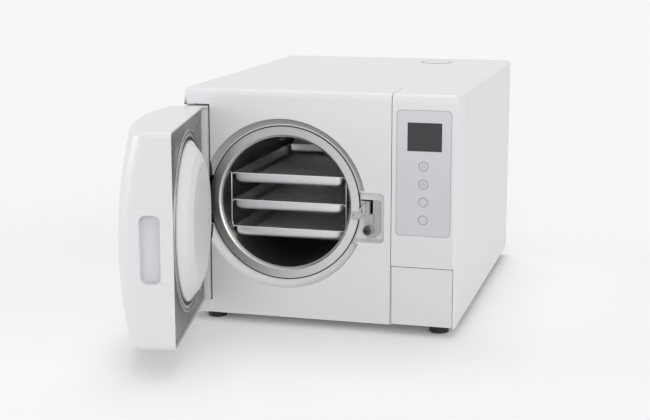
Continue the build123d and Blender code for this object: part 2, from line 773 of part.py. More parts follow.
with BuildPart() as chamber_saddles:
    for y in (120.0, 400.0):
        add(block(ring_x - 110, ring_x + 110, y, y + 2, pan_top, ring_z - 60))
        add(block(ring_x - 110, ring_x + 110, y, y + 20, pan_top, pan_top + 2))
    add(along_y(ring_x, ring_z, insulation_radius + 0.1, 100, 440), mode=Mode.SUBTRACT)
keep("chamber_saddles", chamber_saddles)

with BuildPart() as steam_baffle:
    baffle_y = vessel_back_y - 6
    add(along_y(ring_x - 6, ring_z + 62, 28, baffle_y, baffle_y + 1.5))
    for x in (ring_x - 24, ring_x + 12):
        add(along_y(x, ring_z + 62, 3, baffle_y + 1, vessel_back_y + cap_rise(66, vessel_radius, inner_bulge) + 0.8))
    add(chamber_vessel.part, mode=Mode.SUBTRACT)
keep("steam_baffle", steam_baffle)

probe_side = 64.5
probe_drop = 84.0
with BuildPart() as temperature_probe:
    add(along_y(ring_x + probe_side, ring_z - probe_drop, 3, vessel_back_y - 40, vessel_back_y + 40))
    add(along_y(ring_x + probe_side, ring_z - probe_drop, 8, vessel_back_y + 22, vessel_back_y + 34))
with BuildPart() as vessel_holes:
    add(along_y(ring_x + probe_side, ring_z - probe_drop, 3.05, vessel_back_y - 20, vessel_back_y + 40))
keep("temperature_probe", temperature_probe)
with BuildPart() as bored_vessel:
    add(chamber_vessel.part)
    add(vessel_holes.part, mode=Mode.SUBTRACT)
keep("chamber_vessel", bored_vessel)

# Rack and trays
post_foot_z = -sqrt(vessel_radius ** 2 - (rack_post_x + wire_radius) ** 2) + 0.1
rim_gap = 0.1
with BuildPart() as rack_frame:
    front_y = tray_front_y + 16
    for sign in (-1, 1):
        x = ring_x + sign * rack_post_x
        for y in (front_y, rack_rear_y - 20):
            add(along_z(x, y, wire_radius, ring_z + post_foot_z, ring_z + tray_first_z + 2))
        for i in range(tray_count):
            rail_z = ring_z + tray_first_z - i * tray_pitch - tray_sheet - wire_radius - rim_gap
            add(along_y(x - sign * 2.6, rail_z, wire_radius, tray_front_y, rack_rear_y))
        add(along_y(x, ring_z + tray_first_z + 2, wire_radius + 0.4, front_y - 4, rack_rear_y - 16))
        add(along_y(x, ring_z + post_foot_z + 2.9, wire_radius + 0.4, front_y - 4, rack_rear_y - 16))
    for i in range(tray_count):
        rail_z = ring_z + tray_first_z - i * tray_pitch - tray_sheet - wire_radius - rim_gap
        add(along_x(rack_rear_y - 4, rail_z, wire_radius - 0.2, ring_x - rack_post_x + 2.6,
                    ring_x + rack_post_x - 2.6))
keep("rack_frame", rack_frame)

for i in range(tray_count):
    top_z = ring_z + tray_first_z - i * tray_pitch
    mid_y = tray_front_y + tray_length / 2
    slope = (tray_top_width - tray_floor_width) / 2
    floor_length = tray_length - 8
    with BuildPart() as tray:
        for inset, z_floor in ((0.0, top_z - tray_height), (tray_sheet, top_z - tray_height + tray_sheet)):
            mode = Mode.SUBTRACT if inset else Mode.ADD
            with BuildSketch(Plane.XY.offset(z_floor)):
                with Locations((ring_x, mid_y)):
                    RectangleRounded(tray_floor_width - 2 * inset, floor_length - 2 * inset - 11, 12)
            with BuildSketch(Plane.XY.offset(top_z + (0.0 if not inset else 0.01))):
                with Locations((ring_x, mid_y)):
                    RectangleRounded(tray_top_width - 2 * inset, floor_length - 2 * inset, 14)
            loft(mode=mode)
        with BuildSketch(Plane.XY.offset(top_z - tray_sheet)):
            with Locations((ring_x, mid_y)):
                RectangleRounded(tray_rim_width, tray_length, 17)
                RectangleRounded(tray_top_width - 1.5, floor_length - 1.5, 14, mode=Mode.SUBTRACT)
        extrude(amount=tray_sheet)
        with BuildSketch(Plane.XY.offset(top_z - tray_height - 1)):
            with Locations((ring_x, mid_y)):
                with GridLocations(58, 34, 3, 10):
                    SlotOverall(46, 2.4)
        extrude(amount=tray_sheet + 2, mode=Mode.SUBTRACT)
    keep(f"tray_{i + 1}", tray)

# Hinge arm and pin, latch plate and bolt
arm_base_y = ring_back_y
arm_back = arm_side - 10.5
arm_flange = arm_side + 17.5
arm_outline = [(hinge_x - 8, hinge_y), (hinge_x + 7.5, hinge_y), (hinge_x + 7.5, 1.5), (arm_side, 6.0),
               (arm_side, arm_base_y), (arm_flange, arm_base_y), (arm_flange, arm_base_y + 8),
               (arm_back, arm_base_y + 8), (arm_back, 18.0), (hinge_x - 8, 4.0)]
with BuildPart() as hinge_arm:
    for z0, z1 in ((ring_z - arm_outer, ring_z - arm_inner), (ring_z + arm_inner, ring_z + arm_outer)):
        add(plan_plate(arm_outline, z0, z1))
        add(along_z(hinge_x, hinge_y, hinge_boss_radius, z0, z1))
    add(block(arm_back, arm_flange, arm_base_y, arm_base_y + 8, ring_z - arm_outer, ring_z + arm_outer))
    add(along_z(hinge_x, hinge_y, hinge_pin_radius, ring_z - knuckle_outer - 2, ring_z + knuckle_outer + 2))
    for z0 in (ring_z - knuckle_outer - 4, ring_z + knuckle_outer + 0.3):
        add(along_z(hinge_x, hinge_y, hinge_pin_radius + 2, z0, z0 + 3.7))
keep("hinge_arm", hinge_arm)

slot_left = latch_left + latch_slot_left
with BuildPart() as latch_plate:
    with BuildSketch(front(latch_y)):
        with BuildLine():
            Polyline((latch_left, latch_bottom + latch_corner), (latch_left + latch_corner, latch_bottom),
                     (latch_right - 10.5, latch_bottom), (latch_right, latch_bottom + 10.5),
                     (latch_right, latch_top - latch_corner))
            RadiusArc((latch_right, latch_top - latch_corner), (latch_right - latch_corner, latch_top),
                      -latch_corner)
            Polyline((latch_right - latch_corner, latch_top), (latch_slot_right, latch_top),
                     (latch_slot_right, latch_top - latch_slit), (latch_left, latch_top - latch_slit),
                     (latch_left, latch_bottom + latch_corner))
        make_face()
    extrude(amount=-latch_thickness)
    add(block(slot_left, latch_slot_right, latch_y - 1, pocket_depth + 1, latch_slot_bottom, latch_top + 1),
        mode=Mode.SUBTRACT)
    with BuildSketch(front(flap_y)):
        with BuildLine():
            Polyline((latch_left, flap_bottom), (latch_slot_right + flap_overhang, flap_bottom),
                     (latch_slot_right + flap_overhang, flap_top), (slot_left, flap_top),
                     (slot_left, latch_top - latch_slit), (latch_left + 2, latch_top - latch_slit - 5),
                     (latch_left, latch_top - latch_slit - 8), close=True)
        make_face()
    extrude(amount=flap_y - latch_y - 0.1)
    add(along_y(bolt_bush_x, bolt_z, bolt_bush_radius + 1.6, latch_y - 2.5, latch_y + 0.1))
    add(along_y(bolt_bush_x, bolt_z, bolt_bush_radius, bolt_bush_y, latch_y + 0.1))
    fillet(latch_plate.edges().sort_by(Axis.Y)[0], 1.2)
    add(along_y(bolt_x, bolt_z, bolt_radius + running_gap, 0, 30), mode=Mode.SUBTRACT)
    add(along_y(latch_right - 8.8, latch_top - 11, 2.0, latch_y - 0.5, latch_y + 0.1))
keep("latch_plate", latch_plate)

with BuildPart() as latch_bolt:
    add(along_y(bolt_x, bolt_z, bolt_radius, bolt_front_y, 46))
    chamfer(latch_bolt.edges().sort_by(Axis.Y)[0], 0.8)
keep("latch_bolt", latch_bolt)

with BuildPart() as latch_drive:
    add(block(bolt_x - 6.6, bolt_x + 22, pocket_depth + mould_wall, 60, bolt_z - 14, bolt_z + 14))
    add(along_y(bolt_x, bolt_z, bolt_radius + running_gap, 0, 50), mode=Mode.SUBTRACT)
keep("latch_drive", latch_drive)

link_lug_left = ring_x + ring_bore_radius + 3.0
link_lug_right = ring_x + ring_outer_radius - 3.4
with BuildPart() as latch_link:
    add(block(link_lug_left, link_lug_right, link_lug_y, ring_face_y, link_lug_bottom, link_lug_top))
    with BuildSketch(front(link_y)):
        with BuildLine():
            Polyline((link_lug_right - 1.6, link_lug_bottom + 2), (link_lug_right + 3.5, link_lug_bottom + 2),
                     (link_lug_right + 6.5, link_lug_bottom + 8), (latch_left + 2, flap_top + 2),
                     (latch_left + 2, link_rod_z + 1), (latch_left - 3, link_rod_z - 3),
                     (link_lug_right + 2.5, link_lug_top + 4), (link_lug_right - 1.6, link_lug_top), close=True)
        make_face()
    extrude(amount=link_y - flap_y)
    add(block(link_lug_right + 6.5, link_lug_right + 8.5, link_y - 1, flap_y + 1, link_lug_bottom + 13,
              link_lug_bottom + 21), mode=Mode.SUBTRACT)
    add(along_x(link_y + 1, link_rod_z, link_rod_radius, ring_x + ring_outer_radius + 0.6, latch_left + 1.5))
keep("latch_link", latch_link)

# Door shell: flat sides under one large bowed face, hollow, with the finger pull
def door_form(inset):
    """The door's outer form, or the hollow inside it: a box under a barrel-shaped face."""
    x0, x1 = door_left + inset, door_right - inset
    z0, z1 = door_bottom + inset, door_top - inset
    y1 = door_rim_y + (1.0 if inset else 0.0)
    level = (door_bottom + door_top) / 2
    bow = door_bow_radius - inset
    crown_y = door_crown_y + inset
    reach = door_right - door_crown_x + door_free_edge_radius
    edge_y = crown_y + bow - sqrt(bow * bow - reach * reach)
    turn_y = door_crown_y + door_bow_height_radius
    with BuildPart() as barrel:
        with BuildSketch(Plane.XY.offset(door_crown_z)):
            with BuildLine():
                ThreePointArc((door_crown_x - reach, edge_y), (door_crown_x, crown_y),
                              (door_crown_x + reach, edge_y))
                Polyline((door_crown_x + reach, edge_y), (door_crown_x + reach, turn_y),
                         (door_crown_x - reach, turn_y), (door_crown_x - reach, edge_y))
            make_face()
        revolve(axis=Axis((0, turn_y, door_crown_z), (1, 0, 0)))
    with BuildPart() as made:
        add(block(x0, x1, door_crown_y - 1, y1, z0, z1))
        add(barrel.part, mode=Mode.INTERSECT)
        free = made.edges().filter_by(lambda e: abs(e.center().X - x1) < 0.2 and e.center().Y < y1 - 20
                                      and abs(e.center().Z - level) < 60)
        fillet(free, door_free_edge_radius - inset)
        hinge_edge = made.edges().filter_by(lambda e: abs(e.center().X - x0) < 0.2 and e.center().Y < y1 - 20
                                            and abs(e.center().Z - level) < 60)
        fillet(hinge_edge, door_hinge_edge_radius - inset)
        caps = made.edges().filter_by(lambda e: (abs(e.center().Z - z0) < 0.2 or abs(e.center().Z - z1) < 0.2)
                                      and e.center().Y < y1 - 0.5
                                      and not (abs(e.center().X - x0) < 0.2 or abs(e.center().X - x1) < 0.2))
        fillet(caps, door_cap_edge_radius - inset)
    return made.part


door_outer = door_form(0.0)
door_hollow = door_form(door_wall)
with BuildPart() as pull_wall:
    add(block(door_right - pull_depth - pull_fill, door_right + 1, pull_front_y - pull_fill,
              pull_lip_y + pull_fill, pull_bottom - pull_fill, pull_top + pull_fill))
    add(door_outer, mode=Mode.INTERSECT)
skirt_bend = door_cap_edge_radius - door_wall
with BuildPart() as door_skirt:
    add(block(door_left, door_left + 60, door_rim_y - 2, door_skirt_y, door_bottom, door_top,
              door_cap_edge_radius, Axis.Y))
    add(block(door_left + door_wall, door_left + 80, door_rim_y - 3, door_skirt_y + 1, door_bottom + door_wall,
              door_top - door_wall, skirt_bend, Axis.Y), mode=Mode.SUBTRACT)
    add(block(door_left + door_cap_edge_radius, 100, -20, 20, 0, cabinet_top), mode=Mode.SUBTRACT)
with BuildPart() as door_shell:
    add(door_outer)
    add(door_hollow, mode=Mode.SUBTRACT)
    add(pull_wall.part)
    add(door_skirt.part)
    add(block(door_right - pull_depth, door_right + 30, pull_front_y, pull_lip_y, pull_bottom, pull_top,
              pull_round, Axis.X), mode=Mode.SUBTRACT)
    add(block(door_right - pull_lip_recess, door_right + 5, pull_lip_y - 1, door_rim_y + 5,
              pull_bottom, pull_top), mode=Mode.SUBTRACT)
    add(block(door_left - 1, 12, door_notch_y, door_skirt_y + 1, ring_z - door_notch_half_height,
              ring_z + door_notch_half_height), mode=Mode.SUBTRACT)
keep("door_shell", door_shell, True)

with BuildPart() as door_liner:
    add(block(liner_left, liner_right, liner_back_y, liner_y, liner_bottom, liner_top,
              door_cap_edge_radius - door_wall, Axis.Y))
    add(block(liner_right - liner_wall, liner_right, liner_y - liner_flange, liner_back_y + 0.1,
              liner_bottom + 6, liner_top - 6))
    for z0 in (liner_bottom, liner_top - liner_wall):
        add(block(liner_left + 6, liner_right - 6, liner_y - liner_flange, liner_back_y + 0.1,
                  z0, z0 + liner_wall))
    add(block(liner_left - 1, liner_notch_right, liner_y - 30, liner_y + 1, ring_z - door_notch_half_height,
              ring_z + door_notch_half_height), mode=Mode.SUBTRACT)
    add(block(bolt_x - bolt_radius - 1, liner_right + 1, liner_y - 30, liner_y + 1,
              bolt_z - bolt_radius - 1.5, bolt_z + bolt_radius + 1.5), mode=Mode.SUBTRACT)
    add(along_y(ring_x, ring_z, 25.1, liner_y - 10, liner_y + 1), mode=Mode.SUBTRACT)
keep("door_liner", door_liner, True)

with BuildPart() as pressure_plate:
    add(turned([(0, liner_back_y), (25, liner_back_y), (25, liner_y), (plate_radius, liner_y),
                (plate_radius, plate_face_y - plate_edge_round), (plate_radius - plate_edge_round, plate_face_y),
                (groove_outer, plate_face_y), (groove_outer, plate_face_y - groove_depth),
                (groove_inner, plate_face_y - groove_depth), (groove_inner, plate_face_y), (0, plate_face_y)]))
keep("pressure_plate", pressure_plate, True)

with BuildPart() as door_gasket:
    add(turned([(groove_inner + 0.1, plate_face_y - groove_depth), (groove_outer - 0.1, plate_face_y - groove_depth),
                (groove_outer - 0.1, plate_face_y - 0.4), (groove_inner + 2.4, plate_face_y + 0.6),
                (groove_inner + 0.1, plate_face_y - 0.4)]))
keep("door_gasket", door_gasket, True)

with BuildPart() as door_seal:
    add(turned([(0, plate_face_y), (seal_radius, plate_face_y), (seal_radius, liner_y + seal_base_proud),
                (seal_shoulder_radius, liner_y + seal_shoulder_proud), (seal_neck_radius, liner_y + seal_neck_proud),
                (seal_nose_radius, liner_y + seal_nose_proud), (0, liner_y + seal_nose_proud)]))
    fillet(door_seal.edges().filter_by(lambda e: e.center().Y > liner_y + seal_nose_proud - 0.1), 4)
keep("door_seal", door_seal, True)

with BuildPart() as door_carrier:
    for z0, z1 in ((ring_z - knuckle_outer, ring_z - arm_outer - end_gap),
                   (ring_z + arm_outer + end_gap, ring_z + knuckle_outer)):
        add(block(hinge_x - 2, 70, carrier_y, liner_back_y, z0, z1))
        add(along_z(hinge_x, hinge_y, hinge_boss_radius, z0, z1))
    add(block(60, carrier_right, carrier_y, liner_back_y, ring_z - knuckle_outer, ring_z + knuckle_outer))
    add(along_z(hinge_x, hinge_y, hinge_pin_radius + running_gap, 0, cabinet_top), mode=Mode.SUBTRACT)
keep("door_carrier", door_carrier, True)

screw_spots = ((liner_right - 17.8, liner_top - 24.8), (liner_right - 17.8, liner_bottom + 34.1),
               (liner_left + 51, liner_top - 17.8), (liner_left + 51, liner_bottom + 26.1))
with BuildPart() as door_screws:
    for x, z in screw_spots:
        add(along_y(x, z, 3.5, liner_y, liner_y + 1.6))
        add(along_y(x, z, 1.9, liner_back_y - 6, liner_y + 0.1))
with BuildPart() as drilled_liner:
    add(door_liner.part)
    for x, z in screw_spots:
        add(along_y(x, z, 1.95, liner_back_y - 9, liner_y + 1), mode=Mode.SUBTRACT)
keep("door_screws", door_screws, True)
keep("door_liner", drilled_liner, True)

with BuildPart() as door_plug:
    add(along_z(door_right - 37, -36, 13.5, door_bottom - 3, door_bottom))
    fillet(door_plug.edges().sort_by(Axis.Z)[0], 1)
    add(along_z(door_right - 37, -36, 6, door_bottom - 1, door_bottom + door_wall + 4))
with BuildPart() as plugged_shell:
    add(door_shell.part)
    add(along_z(door_right - 37, -36, 6.05, door_bottom - 1, door_bottom + 8), mode=Mode.SUBTRACT)
keep("door_plug", door_plug, True)
keep("door_shell", plugged_shell, True)

# Filler in the top
filler_floor_z = cabinet_top - filler_depth
with BuildPart() as filler_neck:
    add(along_z(filler_x, filler_y, filler_radius, filler_floor_z - filler_wall, cabinet_top + filler_rise))
    add(along_z(filler_x, filler_y, filler_radius + filler_lip, cabinet_top, cabinet_top + filler_rise))
    add(along_z(filler_x, filler_y, filler_throat + filler_wall, filler_floor_z - 14, filler_floor_z))
    add(along_z(filler_x, filler_y, filler_radius - filler_wall, filler_floor_z, cabinet_top + 5),
        mode=Mode.SUBTRACT)
    add(along_z(filler_x, filler_y, filler_throat, filler_floor_z - 20, cabinet_top), mode=Mode.SUBTRACT)
keep("filler_neck", filler_neck)

with BuildPart() as filler_cap:
    cap_radius = filler_radius - filler_wall - cap_gap
    cap_top_z = cabinet_top + filler_rise - cap_sink
    add(along_z(filler_x, filler_y, cap_radius, filler_floor_z + 0.1, cap_top_z))
    fillet(filler_cap.edges().sort_by(Axis.Z)[-1], 1.2)
    add(block(filler_x - 9, filler_x + 9, filler_y + cap_radius - 5, filler_y + cap_radius + 1,
              cap_top_z - 6, cap_top_z + 1), mode=Mode.SUBTRACT)
    add(along_z(filler_x, filler_y, filler_throat - 0.1, filler_floor_z - 8, filler_floor_z + 1))
    add(along_z(filler_x, filler_y, filler_throat - 3, filler_floor_z - 9, filler_floor_z + 8),
        mode=Mode.SUBTRACT)
keep("filler_cap", filler_cap)

# Water side and steam side
tank_top_z = filler_floor_z - 16
with BuildPart() as water_tank:
    add(block(tank_left, tank_right, tank_front_y, tank_back_y, tank_bottom, tank_top_z, tank_corner, Axis.Z))
    add(block(tank_left + tank_wall, tank_right - tank_wall, tank_front_y + tank_wall, tank_back_y - tank_wall,
              tank_bottom + tank_wall, tank_top_z - tank_wall, tank_corner - tank_wall, Axis.Z),
        mode=Mode.SUBTRACT)
    add(along_z(filler_x, filler_y, filler_throat + 4, tank_top_z - 1, filler_floor_z - filler_wall))
    add(along_z(filler_x, filler_y, filler_throat + filler_wall + 0.1, tank_top_z - 5, cabinet_top),
        mode=Mode.SUBTRACT)
keep("water_tank", water_tank)

supply_right = tank_right
supply_left = supply_right - supply_width
used_left, used_right = tank_left + used_tank_inset, supply_left - supply_tank_gap
used_front_y, used_back_y = tank_front_y + used_tank_inset, tank_back_y - used_tank_rear_inset
with BuildPart() as used_water_tank:
    add(block(used_left, used_right, used_front_y, used_back_y, pan_top, used_tank_top, tank_corner, Axis.Z))
    add(block(used_left + tank_wall, used_right - tank_wall, used_front_y + tank_wall, used_back_y - tank_wall,
              pan_top + tank_wall, used_tank_top - tank_wall, tank_corner - tank_wall, Axis.Z),
        mode=Mode.SUBTRACT)
    port_x, port_y = (used_left + used_right) / 2, (used_front_y + used_back_y) / 2
    add(along_z(port_x, port_y, 8, used_tank_top - tank_wall - 0.5, used_tank_top + 8))
    add(along_z(port_x, port_y, 5, used_tank_top - 10, used_tank_top + 10), mode=Mode.SUBTRACT)
keep("used_water_tank", used_water_tank)

pump_back_y = tank_front_y + pump_length
with BuildPart() as vacuum_pump:
    add(block(pump_x - 32.5, pump_x + 32.5, tank_front_y, pump_back_y - 5, pan_top, pan_top + 6))
    add(along_y(pump_x, 75, 34, tank_front_y, pump_back_y - 25))
    add(block(pump_x - 29, pump_x + 29, pump_back_y - 30, pump_back_y, pan_top + 2, 116, 6, Axis.Y))
    add(block(pump_x - 12, pump_x + 12, tank_front_y + 20, pump_back_y - 45, pan_top + 5, 60))
    for x in (pump_x - 17, pump_x + 17):
        add(along_z(x, pump_back_y - 15, 5, 110, 130))
keep("vacuum_pump", vacuum_pump)

condenser_back_y = cabinet_depth - condenser_rear_margin
condenser_front_y = condenser_back_y - condenser_depth
condenser_left, condenser_right = fan_x - condenser_half_width, fan_x + condenser_half_width
sump_z = condenser_bottom - 18
with BuildPart() as condenser:
    add(block(condenser_left, condenser_right, condenser_front_y, condenser_back_y, condenser_bottom,
              condenser_top))
    z = condenser_bottom + 6
    while z < condenser_top - 2:
        add(block(condenser_left - 12, condenser_right + 12, condenser_front_y + 4, condenser_back_y - 4,
                  z, z + 2))
        z += 12
    for x in (condenser_left, condenser_right - 4):
        add(block(x, x + 4, condenser_front_y, condenser_back_y, sump_z + 3, condenser_bottom + 10))
    add(block(condenser_left - 6, condenser_right + 6, condenser_front_y - 4, condenser_back_y + 4, sump_z,
              sump_z + 4))
    for x in (condenser_left - 2, condenser_right + 2):
        add(block(x - 2, x + 2, condenser_front_y + 10, condenser_back_y - 10, pan_top, sump_z + 1))
keep("condenser", condenser)

with BuildPart() as cooling_fan:
    add(front_plate(fan_x - fan_size / 2, fan_x + fan_size / 2, fan_z - fan_size / 2, fan_z + fan_size / 2,
                    fan_y, fan_y + fan_thickness, 6))
    add(along_y(fan_x, fan_z, fan_rotor_radius + 3, fan_y - 1, fan_y + fan_thickness + 1), mode=Mode.SUBTRACT)
    for angle in (0, 90, 180, 270):
        with BuildPart() as spoke:
            add(block(fan_x, fan_x + fan_rotor_radius + 5, fan_y, fan_y + 3, fan_z - 2, fan_z + 2))
        add(spoke.part.rotate(Axis((fan_x, 0, fan_z), (0, 1, 0)), angle))
    add(along_y(fan_x, fan_z, fan_hub_radius, fan_y, fan_y + 4))
    add(along_y(fan_x, fan_z, 3, fan_y, fan_y + 14))
keep("cooling_fan", cooling_fan)

with BuildPart() as fan_rotor:
    add(along_y(fan_x, fan_z, fan_hub_radius, fan_y + 4.3, fan_y + fan_thickness - 1))
    for i in range(fan_blades):
        with BuildPart() as blade:
            add(block(fan_x + fan_hub_radius - 2, fan_x + fan_rotor_radius, fan_y + 12, fan_y + 14,
                      fan_z - 14, fan_z + 14))
        tilted = blade.part.rotate(Axis((fan_x, fan_y + 13, fan_z), (1, 0, 0)), 28)
        add(tilted.rotate(Axis((fan_x, 0, fan_z), (0, 1, 0)), i * 360 / fan_blades))
    add(along_y(fan_x, fan_z, 3 + running_gap, fan_y, fan_y + 14.3), mode=Mode.SUBTRACT)
keep("fan_rotor", fan_rotor)

generator_x = cabinet_width - generator_side_margin
with BuildPart() as steam_generator:
    add(along_z(generator_x, generator_y, 38, pan_top + 18, pan_top + 150))
    add(block(generator_x - 40, generator_x + 40, generator_y - 40, generator_y + 40, pan_top + 16, pan_top + 19))
    for x in (generator_x - 36, generator_x + 36):
        for y in (generator_y - 36, generator_y + 36):
            add(along_z(x, y, 4, pan_top, pan_top + 17))
    add(along_z(generator_x, generator_y, 10, pan_top + 149, pan_top + 166))
keep("steam_generator", steam_generator)

manifold_x = cabinet_width - manifold_side_margin
with BuildPart() as valve_manifold:
    add(block(manifold_x - 21, manifold_x + 21, 150, 320, pan_top + 40, pan_top + 62))
    for y in (164, 300):
        add(along_z(manifold_x, y, 5, pan_top, pan_top + 41))
    for y in (180, 216, 252, 288):
        add(block(manifold_x - 13, manifold_x + 13, y - 12, y + 12, pan_top + 61, pan_top + 92, 3, Axis.Z))
        add(along_z(manifold_x, y, 6, pan_top + 91, pan_top + 104))
keep("valve_manifold", valve_manifold)

with BuildPart() as safety_valve:
    add(along_y(ring_x + 40, ring_z + 60, 9, vessel_back_y + 8, vessel_back_y + 62))
    add(along_y(ring_x + 40, ring_z + 60, 14, vessel_back_y + 34, vessel_back_y + 44))
    add(vessel_form.part, mode=Mode.SUBTRACT)
keep("safety_valve", safety_valve)

board_x = cabinet_width - sheet_wall - main_board_gap
board_top_z = cabinet_top - main_board_top_margin
board_low_z = board_top_z - main_board_height
with BuildPart() as main_board:
    add(block(board_x, board_x + 1.6, 130, 470, board_low_z, board_top_z))
    for y in (140, 460):
        for z in (board_low_z + 8, board_top_z - 8):
            add(along_x(y, z, 3, board_x + 1.5, cabinet_width - sheet_wall - 0.1))
    for y, rise, dy, dz, dx in ((180, 40, 34, 34, 24), (240, 100, 26, 40, 16), (310, 50, 40, 30, 20),
                                (380, 110, 30, 30, 28), (430, 40, 24, 50, 12)):
        z = board_low_z + rise
        add(block(board_x - dx, board_x + 0.1, y - dy / 2, y + dy / 2, z - dz / 2, z + dz / 2))
keep("main_board", main_board)

supply_back_y = cabinet_depth - supply_rear_margin
with BuildPart() as power_supply:
    add(block(supply_left, supply_right, used_front_y, supply_back_y, pan_top, pan_top + supply_height))
    y = used_front_y + 10
    while y < supply_back_y - 5:
        add(block(supply_left + 10, supply_right - 10, y, y + 5, pan_top + supply_height - 1,
                  pan_top + supply_height + 6))
        y += supply_fin_pitch
keep("power_supply", power_supply)

rocker_y = cabinet_depth - 2.0
with BuildPart() as power_entry:
    add(block(inlet_x - 25, inlet_x + 25, cabinet_depth, cabinet_depth + 3, inlet_z - 14, inlet_z + 14, 4, Axis.Y))
    add(block(inlet_x - 13.8, inlet_x + 13.8, cabinet_depth - 26, cabinet_depth + 1, inlet_z - 9.8, inlet_z + 9.8))
    add(block(inlet_x - 12, inlet_x + 12, cabinet_depth - 16, cabinet_depth + 4, inlet_z - 8, inlet_z + 8),
        mode=Mode.SUBTRACT)
    for x, z in ((-7, -2), (0, 2), (7, -2)):
        add(block(inlet_x + x - 1, inlet_x + x + 1, cabinet_depth - 17, cabinet_depth - 3,
                  inlet_z + z - 2, inlet_z + z + 2))
    add(block(inlet_x - 14, inlet_x + 14, cabinet_depth, cabinet_depth + 2, switch_z - 10, switch_z + 10, 3, Axis.Y))
    add(block(inlet_x - 10.8, inlet_x + 10.8, cabinet_depth - 22, cabinet_depth + 1, switch_z - 6.8, switch_z + 6.8))
    add(block(inlet_x - 9, inlet_x + 9, cabinet_depth - 12, cabinet_depth + 3, switch_z - 5.2, switch_z + 5.2),
        mode=Mode.SUBTRACT)
    add(block(inlet_x - 13, inlet_x + 13, cabinet_depth + 0.2, cabinet_depth + 2, inlet_z + 12, switch_z - 8))
    add(along_z(inlet_x, rocker_y, 1.2 + running_gap, switch_z - 6.2, switch_z + 6.2), mode=Mode.SUBTRACT)
keep("power_entry", power_entry)

with BuildPart() as switch_rocker:
    with BuildSketch(Plane(origin=(0, 0, switch_z - 4.9), x_dir=(1, 0, 0), z_dir=(0, 0, 1))):
        with BuildLine():
            Polyline((inlet_x - 8, rocker_y + 5.6), (inlet_x, rocker_y + 3), (inlet_x + 8, rocker_y + 2.0),
                     (inlet_x + 8, rocker_y - 1), (inlet_x + 4, rocker_y - 4), (inlet_x - 4, rocker_y - 4),
                     (inlet_x - 8, rocker_y - 1), close=True)
        make_face()
    extrude(amount=9.8)
    add(along_z(inlet_x, rocker_y, 1.2, switch_z - 6, switch_z + 6))
keep("switch_rocker", switch_rocker)

# Swing the door open, then put the origin under the middle of the whole outline
for name in door_pieces:
    pieces[name] = pieces[name].rotate(hinge_line, -door_open_angle)
boxes = [piece.bounding_box() for piece in pieces.values()]
low_x = min(box.min.X for box in boxes)
high_x = max(box.max.X for box in boxes)
low_y = min(box.min.Y for box in boxes)
high_y = max(box.max.Y for box in boxes)
centre_x = (low_x + high_x) / 2
centre_y = (low_y + high_y) / 2
print("outline", round(low_x, 2), round(high_x, 2), round(low_y, 2), round(high_y, 2))
print("origin in the cabinet's own frame", round(centre_x, 3), round(centre_y, 3))
for name, piece in pieces.items():
    moved = piece.moved(Location((-centre_x, -centre_y, 0)))
    moved.label = name
    export_step(moved, f"parts/{name}.step")
print(len(pieces), "pieces")
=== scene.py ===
"""Looks for a bench-top steam autoclave that stands with its round door open."""

import json
import math

import bpy
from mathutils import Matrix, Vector

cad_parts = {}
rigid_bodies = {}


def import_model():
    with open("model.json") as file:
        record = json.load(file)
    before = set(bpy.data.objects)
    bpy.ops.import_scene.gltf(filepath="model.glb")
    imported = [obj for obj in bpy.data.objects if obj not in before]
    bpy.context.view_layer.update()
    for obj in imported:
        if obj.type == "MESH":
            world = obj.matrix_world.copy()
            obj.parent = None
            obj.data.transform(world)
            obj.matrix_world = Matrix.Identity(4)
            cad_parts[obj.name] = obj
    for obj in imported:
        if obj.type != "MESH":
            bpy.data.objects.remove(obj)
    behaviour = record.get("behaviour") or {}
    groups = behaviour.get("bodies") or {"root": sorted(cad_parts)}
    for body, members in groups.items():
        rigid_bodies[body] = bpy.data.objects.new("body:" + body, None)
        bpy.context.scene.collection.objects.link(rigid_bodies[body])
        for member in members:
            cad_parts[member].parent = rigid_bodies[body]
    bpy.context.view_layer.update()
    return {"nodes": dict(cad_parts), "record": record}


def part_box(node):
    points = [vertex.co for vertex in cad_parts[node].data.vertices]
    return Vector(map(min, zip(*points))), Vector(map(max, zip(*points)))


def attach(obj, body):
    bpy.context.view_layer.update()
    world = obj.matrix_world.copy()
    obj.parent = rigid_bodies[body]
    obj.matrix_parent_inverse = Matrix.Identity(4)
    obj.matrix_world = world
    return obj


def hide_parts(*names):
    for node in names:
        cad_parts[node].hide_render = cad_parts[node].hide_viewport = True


bl_info = {
    "name": "Bench-top Autoclave",
    "version": (1, 0, 0),
    "blender": (4, 5, 0),
    "location": "3D View > Sidebar > Autoclave",
    "description": "Dresses the packed frame of a bench-top autoclave with its finishes and small parts",
    "category": "Object",
}

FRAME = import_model()
MM = 0.001

# Turns of a new round piece: its axis along Y, as on all that faces forwards, or upright
FORWARDS = (math.pi / 2, 0, 0)
UPRIGHT = (0, 0, 0)

# The cabinet's front left corner, from which places in the front's millimetres are counted
CABINET_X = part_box("front_panel")[0][0]
CABINET_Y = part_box("front_panel")[0][1]

# The steel ring round the chamber's mouth
RING_LOW, RING_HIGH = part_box("flange_ring")
RING_X, RING_Z = (RING_LOW[0] + RING_HIGH[0]) / 2, (RING_LOW[2] + RING_HIGH[2]) / 2
RING_RADIUS = (RING_HIGH[0] - RING_LOW[0]) / 2
RING_WIDTH = 0.019
RING_X_MM, RING_Z_MM = (RING_X - CABINET_X) / MM, RING_Z / MM

# In the front's millimetres: the recess at the door's hinge side, its notch for the hinge arm, which reaches
# as far above the ring's middle as below it, the latch's pocket, and a place past either side of the moulding
RECESS_RIGHT, RECESS_FOOT, RECESS_TOP = 49.7, 40.7, 408
NOTCH_RIGHT, NOTCH_HALF = 62, 46
POCKET_LEFT, POCKET_FOOT, POCKET_TOP = RING_X_MM + 100, 165.2, 258.8
PAST_LEFT, PAST_RIGHT = -10, 400

